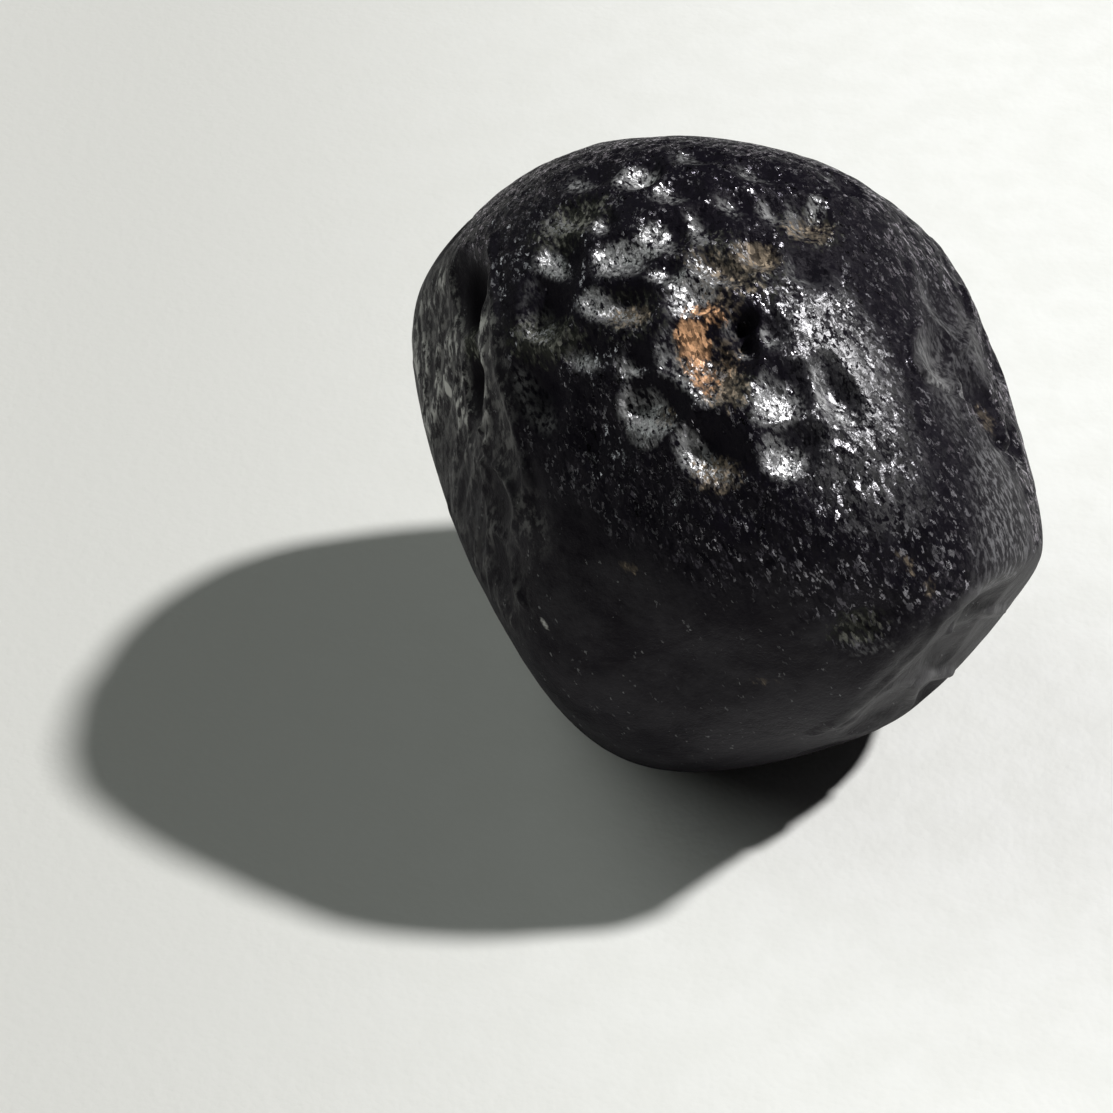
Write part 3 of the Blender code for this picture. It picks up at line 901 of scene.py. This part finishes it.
# %% Paint the finishes
WALL_SHADE_SHARE = 0.7
RUST_CLEARS = 0.8
SEEN_AMOUNT = 0.1
highlight_walls, shaded_walls = cup_walls(rays)
painted_spots = {"rust": RUST, "tan": TAN, "moss": MOSS, "glitter": GLITTER, "nicks": NICKS,
                 "sleek": SMOOTH_SPOTS, "fibrous": FIBROUS_SPOTS, "deep_shade": DEEP_SHADE,
                 "dull": DULL_AND_SHADE_SPOTS, "cup_highlight": HIGHLIGHT_SPOTS}
amounts = {name: in_spots(rays, spots, STAIN_RIM) for name, spots in painted_spots.items()}
# Painted highlight: pale on the cup walls that face the lamp and on the listed cup floors.
amounts["cup_highlight"] = np.maximum(amounts["cup_highlight"], highlight_walls)
amounts["cup_highlight"] *= (1.0 - amounts["dull"]) * (1.0 - RUST_CLEARS * amounts["rust"])
# Painted shade: the cup walls that face away from the lamp join the dull places and lose their shine.
amounts["dull"] = np.maximum(amounts["dull"], WALL_SHADE_SHARE * shaded_walls)
amounts["glitter"] *= 1.0 - amounts["dull"]
for name, amount in amounts.items():
    paint(nodule, name, amount)
    print(name, "points:", int((amount > SEEN_AMOUNT).sum()))

# %% [markdown]
# Materials are made of nodes. A few short helpers keep the cells that follow readable: each adds
# one node, feeds its inputs and gives back the socket that the next step needs.

# %% Node helpers


def feed(tree, socket, value):
    """Link an input to another socket, or set it to a plain value."""
    if isinstance(value, bpy.types.NodeSocket):
        tree.links.new(value, socket)
    else:
        socket.default_value = value


def node(tree, kind, inputs=None, **settings):
    """Add a node, set its properties and feed its inputs, by name or by number."""
    made = tree.nodes.new(kind)
    for name, value in settings.items():
        setattr(made, name, value)
    for name, value in (inputs or {}).items():
        feed(tree, made.inputs[name], value)
    return made


def maths(tree, operation, first, second):
    """One step of arithmetic on two numbers, as a socket."""
    return node(tree, "ShaderNodeMath", {0: first, 1: second}, operation=operation).outputs[0]


def vector_maths(tree, operation, inputs):
    """One step of arithmetic on vectors, as a socket."""
    return node(tree, "ShaderNodeVectorMath", inputs, operation=operation).outputs[0]


def ramp(tree, value, low, high):
    """A number that goes smoothly from 0 at low to 1 at high, as a socket."""
    ends = {"Value": value, "From Min": low, "From Max": high}
    return node(tree, "ShaderNodeMapRange", ends, interpolation_type='SMOOTHSTEP').outputs[0]


def blend_colours(tree, share, first, second):
    """First x (1 - share) + second x share of two colours, as a socket."""
    # A Mix node's inputs 2 and 3 are its numbers, and 6 and 7 its colours.
    ends = {0: share, 6: first, 7: second}
    return node(tree, "ShaderNodeMix", ends, data_type='RGBA').outputs[2]


def blend_numbers(tree, share, first, second):
    """First x (1 - share) + second x share of two numbers, as a socket."""
    ends = {0: share, 2: first, 3: second}
    return node(tree, "ShaderNodeMix", ends, data_type='FLOAT').outputs[0]


# %% [markdown]
# Textures and groups get helpers too. A noise is named once, by its scale, detail and roughness,
# and a group is made with named inputs and outputs, so that several materials can share it.

# %% Texture and group helpers
Noise = namedtuple("Noise", "scale detail roughness", defaults=(0.5,))


def noise(tree, where, kind):
    """The value of a noise texture, as a socket."""
    inputs = {"Vector": where, "Scale": kind.scale, "Detail": kind.detail, "Roughness": kind.roughness}
    return node(tree, "ShaderNodeTexNoise", inputs).outputs["Fac"]


def bump(tree, height, distance, strength, normal=None):
    """A normal bent by a height of up to a distance in metres, on top of another if one is given."""
    inputs = {"Height": height, "Distance": distance, "Strength": strength}
    if normal is not None:
        inputs["Normal"] = normal
    return node(tree, "ShaderNodeBump", inputs).outputs[0]


def group(name, inputs, outputs):
    """An empty node group; each input and output is listed as (name, 'VALUE') or (name, 'VECTOR')."""
    tree = bpy.data.node_groups.new(name, 'ShaderNodeTree')
    kinds = {'VALUE': 'NodeSocketFloat', 'VECTOR': 'NodeSocketVector'}
    for listed, way in ((inputs, 'INPUT'), (outputs, 'OUTPUT')):
        for label, kind in listed:
            tree.interface.new_socket(label, in_out=way, socket_type=kinds[kind])
    return tree, tree.nodes.new('NodeGroupInput'), tree.nodes.new('NodeGroupOutput')


# %% [markdown]
# The paper and the stone are both finely uneven. One group makes that unevenness: a smooth noise,
# less the distance to the nearest of many scattered points, which leaves a small peak over each.
# Its inputs set the scale and the size of the peaks, and it gives a height for a Bump node.

# %% The uneven group
SWELL_DETAIL = 3.0
PEAK_FINENESS = 2.3
uneven, given, made_out = group(
    "uneven", [("Vector", 'VECTOR'), ("Scale", 'VALUE'), ("Sharpness", 'VALUE')], [("Height", 'VALUE')])
swells = noise(uneven, given.outputs["Vector"], Noise(given.outputs["Scale"], SWELL_DETAIL))
peak_scale = maths(uneven, 'MULTIPLY', given.outputs["Scale"], PEAK_FINENESS)
peaks = node(uneven, "ShaderNodeTexVoronoi", {"Vector": given.outputs["Vector"], "Scale": peak_scale})
sharp = maths(uneven, 'MULTIPLY', peaks.outputs["Distance"], given.outputs["Sharpness"])
uneven.links.new(maths(uneven, 'SUBTRACT', swells, sharp), made_out.inputs["Height"])


def add_uneven(tree, where, scale, sharpness):
    """Place the uneven group in a material and give its height, as a socket."""
    inputs = {"Vector": where, "Scale": scale, "Sharpness": sharpness}
    return node(tree, "ShaderNodeGroup", inputs, node_tree=uneven).outputs["Height"]


print("group inputs:", [s.name for s in uneven.interface.items_tree])

# %% [markdown]
# The crown is built of grains a quarter of a millimetre wide, and each lies a little differently,
# so some catch the lamp and the rest stay black. A bump made of noise would give rounded pimples.
# Here a Voronoi texture gives every grain a colour of its own, and that colour tilts its normal:
# the grains come out flat, as crystal faces are. Warped and stretched coordinates break up their
# even outlines.

# %% The grains group
WARP_FINENESS = 0.8
WARP_DETAIL = 3.0
WARP_REACH = 1.6
MIDDLE_COLOUR = (0.5, 0.5, 0.5)
facets, given, made_out = group(
    "flat grains",
    [("Vector", 'VECTOR'), ("Scale", 'VALUE'), ("Tilt", 'VALUE')],
    [("Tilted", 'VECTOR'), ("Shade", 'VALUE'), ("Glow", 'VALUE')])
warp_scale = maths(facets, 'MULTIPLY', given.outputs["Scale"], WARP_FINENESS)
warp = node(facets, "ShaderNodeTexNoise", {
    "Vector": given.outputs["Vector"], "Scale": warp_scale, "Detail": WARP_DETAIL})
push = vector_maths(facets, 'SUBTRACT', {0: warp.outputs["Color"], 1: MIDDLE_COLOUR})
push_size = maths(facets, 'DIVIDE', WARP_REACH, given.outputs["Scale"])
pushed = vector_maths(facets, 'SCALE', {0: push, "Scale": push_size})
warped = vector_maths(facets, 'ADD', {0: given.outputs["Vector"], 1: pushed})
cells = node(facets, "ShaderNodeTexVoronoi", {"Vector": warped, "Scale": given.outputs["Scale"]})
lean = vector_maths(facets, 'SUBTRACT', {0: cells.outputs["Color"], 1: MIDDLE_COLOUR})
tilted = vector_maths(facets, 'SCALE', {0: lean, "Scale": given.outputs["Tilt"]})
parts = node(facets, "ShaderNodeSeparateColor", {"Color": cells.outputs["Color"]})
facets.links.new(tilted, made_out.inputs["Tilted"])
facets.links.new(parts.outputs[0], made_out.inputs["Shade"])
facets.links.new(parts.outputs[2], made_out.inputs["Glow"])


def add_facets(tree, where, scale, tilt):
    """Place the grains group in a material."""
    inputs = {"Vector": where, "Scale": scale, "Tilt": tilt}
    return node(tree, "ShaderNodeGroup", inputs, node_tree=facets)


print("grain inputs:", [s.name for s in facets.interface.items_tree])

# %% [markdown]
# The stone is nearly black, so most of what shows is gloss: glinting grains on the crown, and a
# dull grey sheen on the worn sides, partly painted into their colour. The gloss of the bare black
# is kept weak and faintly violet, as on a tarnished surface. What was painted on the mesh says
# where each finish lies.

# %% The black stone
WEAK_GLOSS = 0.07
VIOLET_GLOSS = (0.98, 0.92, 1.0, 1.0)
stone = bpy.data.materials.new("black nodule")
stone.use_nodes = True
tree = stone.node_tree
tree.nodes.clear()
shader = node(tree, "ShaderNodeBsdfPrincipled")
shader.inputs["Specular IOR Level"].default_value = WEAK_GLOSS
shader.inputs["Specular Tint"].default_value = VIOLET_GLOSS
node(tree, "ShaderNodeOutputMaterial", {"Surface": shader.outputs[0]})
where = node(tree, "ShaderNodeTexCoord").outputs["Object"]


def painted(name):
    """A number that was painted on the mesh, as a socket."""
    return node(tree, "ShaderNodeAttribute", attribute_name=name).outputs["Fac"]


print("gloss of the bare black:", WEAK_GLOSS)

# %% [markdown]
# A few patterns draw all of the finishes: flat grains in two sizes, slanted as they lie on the
# crown, a noise as fine as they are that frays the stains, and a slower mottle. The matt skin has
# clouds of wear, slanting scales and upright fibres. Each pattern is made once and then shared.

# %% Patterns of the stone
GRAIN_SCALE = 2700.0
FINE_GRAIN_SCALE = 6200.0
GRAIN_SLANT = -28.0
GRAIN_STRETCH = (0.62, 0.9, 1.6)
GRAIN_TILT = 0.5
FINE_TILT = 0.45
FINE_SHADE = 0.45
FRAY = Noise(2600.0, 5.0)
MOTTLE = Noise(700.0, 5.0)
CLOUD = Noise(190.0, 6.0, 0.72)
SCALE_NOISE = Noise(1300.0, 6.0, 0.65)
SCALE_SLANT = -20.0
SCALE_STRETCH = (0.7, 0.7, 1.8)
FIBRES = Noise(1900.0, 5.0, 0.6)
FIBRE_STRETCH = (0.6, 0.6, 2.6)


def stretched(slant, stretch):
    """Coordinates that stretch a pattern along its own axes and slant it by some degrees."""
    inputs = {"Vector": where, "Rotation": (0.0, math.radians(slant), 0.0), "Scale": stretch}
    return node(tree, "ShaderNodeMapping", inputs, vector_type='TEXTURE').outputs[0]


grain_mask = painted("grainy")
grain_where = stretched(GRAIN_SLANT, GRAIN_STRETCH)
tilt = maths(tree, 'MULTIPLY', grain_mask, GRAIN_TILT)
grains = add_facets(tree, grain_where, GRAIN_SCALE, tilt)
fine_grains = add_facets(tree, grain_where, FINE_GRAIN_SCALE, maths(tree, 'MULTIPLY', tilt, FINE_TILT))
shade = grains.outputs["Shade"]
fine_shade = fine_grains.outputs["Shade"]
grain_shades = blend_numbers(tree, FINE_SHADE, shade, fine_shade)
fray = noise(tree, grain_where, FRAY)
mottle = noise(tree, where, MOTTLE)
cloud = noise(tree, where, CLOUD)
scales = noise(tree, stretched(SCALE_SLANT, SCALE_STRETCH), SCALE_NOISE)
fibres = noise(tree, stretched(0.0, FIBRE_STRETCH), FIBRES)
print("nodes for the patterns:", len(tree.nodes))

# %% [markdown]
# The matt skin is black with clouds of dark grey. Paler greys lie over it, one after another: the
# fibres of the right cheek, sleek places, the wear and painted reflection of chamfer and lines,
# the crests of the scales, two nicks and scattered specks. Painted shade turns the flutes and the
# foot black. A row of Mix nodes does this, and a loop over a short list builds the row.

# %% Colour of the matt skin
MATT_GREY = (0.0060, 0.0048, 0.0075, 1.0)
MATT_LIGHT = (0.027, 0.0255, 0.029, 1.0)
FIBRE_GREY = (0.19, 0.187, 0.198, 1.0)
SLEEK_GREY = (0.25, 0.247, 0.25, 1.0)
WORN_SHEEN_GREY = (0.19, 0.188, 0.19, 1.0)
PALE_GREY = (0.48, 0.475, 0.455, 1.0)
SPECK_GREY = (0.16, 0.16, 0.165, 1.0)
SHADE_BLACK = (0.002, 0.0015, 0.0025, 1.0)
FOOT_SHADE_HEIGHT = 0.014
CLOUD_EDGES = (0.36, 0.66)
FIBRE_EDGES = (0.46, 0.62)
SLEEK_EDGES = (0.34, 0.64)
WORN_SHEEN_EDGES = (0.25, 0.6)
PALE_EDGES = (0.45, 0.62)
NICK_EDGES = (0.2, 0.6)
SPECK_EDGES = (0.86, 0.96)
FINE_SPECK_EDGES = (0.9, 1.0)


def patterned(name, pattern, edges):
    """A painted number, kept where a pattern is high: from none to all of it between two edges."""
    return maths(tree, 'MULTIPLY', painted(name), ramp(tree, pattern, *edges))


specks = maths(tree, 'MULTIPLY', ramp(tree, fine_shade, *FINE_SPECK_EDGES), ramp(tree, shade, *SPECK_EDGES))
matt_layers = (
    (patterned("fibrous", fibres, FIBRE_EDGES), FIBRE_GREY),
    (patterned("sleek", fibres, SLEEK_EDGES), SLEEK_GREY),
    # Wear grey with painted reflection and highlight on chamfer and lines.
    (patterned("worn", cloud, WORN_SHEEN_EDGES), WORN_SHEEN_GREY),
    # Pale scale crests, partly painted reflection.
    (patterned("pale", scales, PALE_EDGES), PALE_GREY),
    (ramp(tree, painted("nicks"), *NICK_EDGES), PALE_GREY),
    (specks, SPECK_GREY),
    # Painted shade in the deepest flutes.
    (painted("deep_shade"), SHADE_BLACK),
)
matt = blend_colours(tree, ramp(tree, cloud, *CLOUD_EDGES), MATT_GREY, MATT_LIGHT)
for share, grey in matt_layers:
    matt = blend_colours(tree, share, matt, grey)
height = node(tree, "ShaderNodeSeparateXYZ", {"Vector": where}).outputs["Z"]
# Painted shade: the stone turns black towards the floor.
above_foot_shade = ramp(tree, height, 0.0, FOOT_SHADE_HEIGHT)
matt = blend_colours(tree, above_foot_shade, SHADE_BLACK, matt)
print("greys laid on the matt skin:", len(matt_layers))

# %% [markdown]
# Between its shiny grains the crown is black, with a painted highlight grey in the band of
# glitter. The painted highlight of the cup walls is thinner on the dark grains, and noise opens it.
# Its thickest flakes are kept apart as a mask of their own, because no stain covers them.

# %% Colour of the grainy skin
BLACK = (0.0060, 0.0050, 0.0085, 1.0)
BAND_HIGHLIGHT_GREY = (0.11, 0.109, 0.115, 1.0)
BAND_EDGES = (0.1, 0.7)
CUP_HIGHLIGHT_GREY = (0.56, 0.56, 0.565, 1.0)
THIN_HIGHLIGHT = 0.6
THICK_EDGES = (0.2, 0.75)
OPEN_EDGES = (0.4, 0.6)
FLAKE_EDGES = (0.55, 0.7)
thickness = blend_numbers(tree, ramp(tree, grain_shades, *THICK_EDGES), THIN_HIGHLIGHT, 1.0)
highlight_mask = maths(tree, 'MULTIPLY', painted("cup_highlight"), thickness)
opened = maths(tree, 'MULTIPLY', highlight_mask, ramp(tree, fray, *OPEN_EDGES))
flakes = maths(tree, 'MULTIPLY', highlight_mask, ramp(tree, fine_shade, *FLAKE_EDGES))
# Painted highlight: grey under the dull grains of the band where the lamp's glint falls.
dull = blend_colours(tree, patterned("glitter", grain_shades, BAND_EDGES), BLACK, BAND_HIGHLIGHT_GREY)
# Paints the pale highlight of the lamp-facing cup walls into the colour.
dull = blend_colours(tree, opened, dull, CUP_HIGHLIGHT_GREY)
colour = blend_colours(tree, grain_mask, matt, dull)
print("nodes for the bare stone:", len(tree.nodes))

# %% [markdown]
# Chance says which grains shine: those whose own shade is high enough. The painted highlight and
# glitter raise it, dull places and painted shade lower it, and the mottle lets it drift from patch
# to patch. A shiny grain is treated as metal, so its colour is that of its gloss.

# %% Shiny grains
DIM_SHEEN = (0.03, 0.028, 0.034, 1.0)
GRAIN_SHEEN = (0.34, 0.33, 0.36, 1.0)
GLITTER_SHEEN = (0.2, 0.198, 0.205, 1.0)
CUP_HIGHLIGHT_SHEEN = (0.42, 0.42, 0.43, 1.0)
SHADE_WEIGHT = 1.2
BRIGHT_WEIGHT = 0.4
DULL_WEIGHT = -0.5
MOTTLE_WEIGHT = 0.4
SHINE_EDGES = (0.93, 1.15)
GRAINY_EDGES = (0.4, 1.0)
GLOW_EDGES = (0.4, 1.0)
glitter = painted("glitter")
weights = (
    (grain_shades, SHADE_WEIGHT),
    (maths(tree, 'MAXIMUM', glitter, highlight_mask), BRIGHT_WEIGHT),
    (painted("dull"), DULL_WEIGHT),
    (mottle, MOTTLE_WEIGHT),
)
chance = 0.0
for value, weight in weights:
    chance = maths(tree, 'ADD', chance, maths(tree, 'MULTIPLY', value, weight))
shiny = maths(tree, 'MULTIPLY', ramp(tree, grain_mask, *GRAINY_EDGES), ramp(tree, chance, *SHINE_EDGES))
glow = ramp(tree, grains.outputs["Glow"], *GLOW_EDGES)
sheen = blend_colours(tree, glow, DIM_SHEEN, GRAIN_SHEEN)
sheen = blend_colours(tree, glitter, sheen, GLITTER_SHEEN)
sheen = blend_colours(tree, highlight_mask, sheen, CUP_HIGHLIGHT_SHEEN)
colour = blend_colours(tree, shiny, colour, sheen)
print("weights of a shiny grain:", [weight for _, weight in weights])

# %% [markdown]
# The stains lie over all of this. Each starts from its painted amount, and noise frays its edge
# and runs its tint from dark to full. They are matt, so they take the metal away again.

# %% Stain colours
Stain = namedtuple("Stain", "name tint dark full")
STAINS = (
    Stain("moss", (0.17, 0.17, 0.147, 1.0), (0.022, 0.023, 0.019, 1.0), 0.7),
    Stain("tan", (0.42, 0.335, 0.25, 1.0), (0.085, 0.070, 0.055, 1.0), 0.7),
    Stain("rust", (0.88, 0.49, 0.27, 1.0), (0.13, 0.075, 0.045, 1.0), 0.5),
)
STAIN_FROM = 0.1
STAIN_FRAY = 2.0
STAIN_EDGES = (0.0, 0.2)
TINT_FROM = -0.4
TINT_FULL = 0.8
NOISE_MIDDLE = 0.5


def stain_mask(kind):
    """A stain's frayed share of the surface and how full its tint is, as two sockets."""
    spread = maths(tree, 'MULTIPLY', maths(tree, 'SUBTRACT', fray, NOISE_MIDDLE), STAIN_FRAY)
    amount = maths(tree, 'ADD', painted(kind.name), spread)
    tone = maths(tree, 'ADD', amount, maths(tree, 'SUBTRACT', shade, NOISE_MIDDLE))
    edge = ramp(tree, painted(kind.name), *STAIN_EDGES)
    mask = maths(tree, 'MULTIPLY', ramp(tree, amount, STAIN_FROM, kind.full), edge)
    mask = maths(tree, 'MULTIPLY', mask, maths(tree, 'SUBTRACT', 1.0, flakes))
    return mask, ramp(tree, tone, kind.full + TINT_FROM, kind.full + TINT_FULL)


stained = 0.0
for kind in STAINS:
    mask, fullness = stain_mask(kind)
    colour = blend_colours(tree, mask, colour, blend_colours(tree, fullness, kind.dark, kind.tint))
    stained = maths(tree, 'MAXIMUM', stained, mask)
tree.links.new(colour, shader.inputs["Base Color"])
bare = maths(tree, 'SUBTRACT', 1.0, stained)
tree.links.new(maths(tree, 'MULTIPLY', shiny, bare), shader.inputs["Metallic"])
print("stains:", [kind.name for kind in STAINS])

# %% [markdown]
# Roughness follows the same masks: shiny grains are the smoothest, the painted highlight and
# glitter spread the light a little more, clouds run over the matt skin, and the foot and the
# flutes, painted with shade, don't shine.

# %% Roughness of the stone
GRAIN_ROUGH = 0.24
GLITTER_ROUGH = 0.5
CUP_HIGHLIGHT_ROUGH = 0.45
DULL_ROUGH = 0.5
MATT_ROUGH = (0.3, 0.75)
FULL_ROUGH = 1.0
STAIN_ROUGH = 0.2
shiny_rough = blend_numbers(tree, glitter, GRAIN_ROUGH, GLITTER_ROUGH)
shiny_rough = blend_numbers(tree, highlight_mask, shiny_rough, CUP_HIGHLIGHT_ROUGH)
grainy_rough = blend_numbers(tree, shiny, DULL_ROUGH, shiny_rough)
matt_rough = blend_numbers(tree, cloud, *MATT_ROUGH)
matt_rough = blend_numbers(tree, above_foot_shade, FULL_ROUGH, matt_rough)
matt_rough = blend_numbers(tree, painted("deep_shade"), matt_rough, FULL_ROUGH)
roughness = blend_numbers(tree, grain_mask, matt_rough, grainy_rough)
roughness = maths(tree, 'ADD', roughness, maths(tree, 'MULTIPLY', stained, STAIN_ROUGH))
tree.links.new(roughness, shader.inputs["Roughness"])
print("nodes so far:", len(tree.nodes))

# %% [markdown]
# Last come the normals. Low clouds roughen the matt skin and fine pores roughen all of it, as
# bumps. The tilts of the two sizes of grain are then added to that normal, which a bump can't do.

# %% Normals of the stone
CLOUD_DEPTH = 0.0006
CLOUD_STRENGTH = 0.6
PORE_SCALE = 5200.0
PORE_SHARPNESS = 0.5
PORE_DEPTH = 0.00003
PORE_STRENGTH = 0.8
matt_share = maths(tree, 'SUBTRACT', 1.0, grain_mask)
clouded = bump(tree, maths(tree, 'MULTIPLY', cloud, matt_share), CLOUD_DEPTH, CLOUD_STRENGTH)
pores = add_uneven(tree, where, PORE_SCALE, PORE_SHARPNESS)
pored = bump(tree, pores, PORE_DEPTH, PORE_STRENGTH, clouded)
tilts = vector_maths(tree, 'ADD', {0: grains.outputs["Tilted"], 1: fine_grains.outputs["Tilted"]})
facing = vector_maths(tree, 'NORMALIZE', {0: vector_maths(tree, 'ADD', {0: pored, 1: tilts})})
tree.links.new(facing, shader.inputs["Normal"])
nodule.data.materials.append(stone)
print("stone nodes:", len(tree.nodes))

# %% [markdown]
# The stone stands on a plain sheet of pale paper. It is stage, not object, so it is only a square
# with a faint tooth and a faint unevenness of tone, and painted shade that makes it a little darker
# on the left, away from the lamp.

# %% Floor
FLOOR_HALF = 600.0
PAPER = (0.90, 0.90, 0.885, 1.0)
PAPER_SHADE = (0.87, 0.87, 0.85, 1.0)
PAPER_FALLOFF_SHADE = (0.63, 0.625, 0.603, 1.0)
PAPER_ROUGH = 0.9
PAPER_GLOSS = 0.2
PAPER_TONE = Noise(260.0, 5.0)
TONE_EDGES = (0.35, 0.65)
FALLOFF_EDGES = (0.03, -0.05)
TOOTH_SCALE = 900.0
TOOTH_SHARPNESS = 0.3
TOOTH_DEPTH = 0.00008
TOOTH_STRENGTH = 0.5
corners = np.array([[-1, -1, 0], [1, -1, 0], [1, 1, 0], [-1, 1, 0]]) * FLOOR_HALF
floor = make_mesh("floor", corners, np.array([[0, 1, 2, 3]]))
paper = bpy.data.materials.new("pale paper")
paper.use_nodes = True
sheet_tree = paper.node_tree
sheet = sheet_tree.nodes["Principled BSDF"]
sheet.inputs["Roughness"].default_value = PAPER_ROUGH
sheet.inputs["Specular IOR Level"].default_value = PAPER_GLOSS
sheet_where = node(sheet_tree, "ShaderNodeTexCoord").outputs["Object"]
tone = ramp(sheet_tree, noise(sheet_tree, sheet_where, PAPER_TONE), *TONE_EDGES)
mixed = blend_colours(sheet_tree, tone, PAPER, PAPER_SHADE)
across = node(sheet_tree, "ShaderNodeSeparateXYZ", {"Vector": sheet_where}).outputs["X"]
# Painted shade: the paper's colour darkens towards the left, away from the lamp.
mixed = blend_colours(sheet_tree, ramp(sheet_tree, across, *FALLOFF_EDGES), mixed, PAPER_FALLOFF_SHADE)
sheet_tree.links.new(mixed, sheet.inputs["Base Color"])
tooth = add_uneven(sheet_tree, sheet_where, TOOTH_SCALE, TOOTH_SHARPNESS)
sheet_tree.links.new(bump(sheet_tree, tooth, TOOTH_DEPTH, TOOTH_STRENGTH), sheet.inputs["Normal"])
floor.data.materials.append(paper)
print("floor half width, mm:", FLOOR_HALF)

# %% [markdown]
# One lamp at the upper right makes the long shadow to the left. A weak, wide and slightly greenish
# one from the left, a little behind, lifts that shadow to grey. Sun lamps keep both directions the
# same all over. A very faint room light reaches the rest.

# %% Lamps
ROOM_COLOUR = (1.0, 1.0, 1.0, 1.0)
ROOM_STRENGTH = 0.02


def sun(name, ray, strength, width, tint):
    """A sun lamp that shines from a direction: the ray points from the stone to the lamp, and the
    width is that of its disc in degrees."""
    data = bpy.data.lights.new(name, 'SUN')
    data.energy = strength
    data.angle = math.radians(width)
    data.color = tint
    lamp = bpy.data.objects.new(name, data)
    lamp.rotation_euler = Vector(ray).to_track_quat('Z', 'Y').to_euler()
    bpy.context.scene.collection.objects.link(lamp)


sun("lamp", ray=(0.75, 0.10, 1.0), strength=3.6, width=4.0, tint=(1.0, 1.0, 0.985))
sun("fill", ray=(-1.0, 0.3, 0.9), strength=0.79, width=60.0, tint=(0.93, 1.0, 0.94))
world = bpy.data.worlds.new("room")
bpy.context.scene.world = world
world.use_nodes = True
room = world.node_tree.nodes["Background"]
room.inputs["Color"].default_value = ROOM_COLOUR
room.inputs["Strength"].default_value = ROOM_STRENGTH
bpy.context.scene.view_settings.view_transform = 'Standard'
print("lamps:", len(bpy.data.lights))
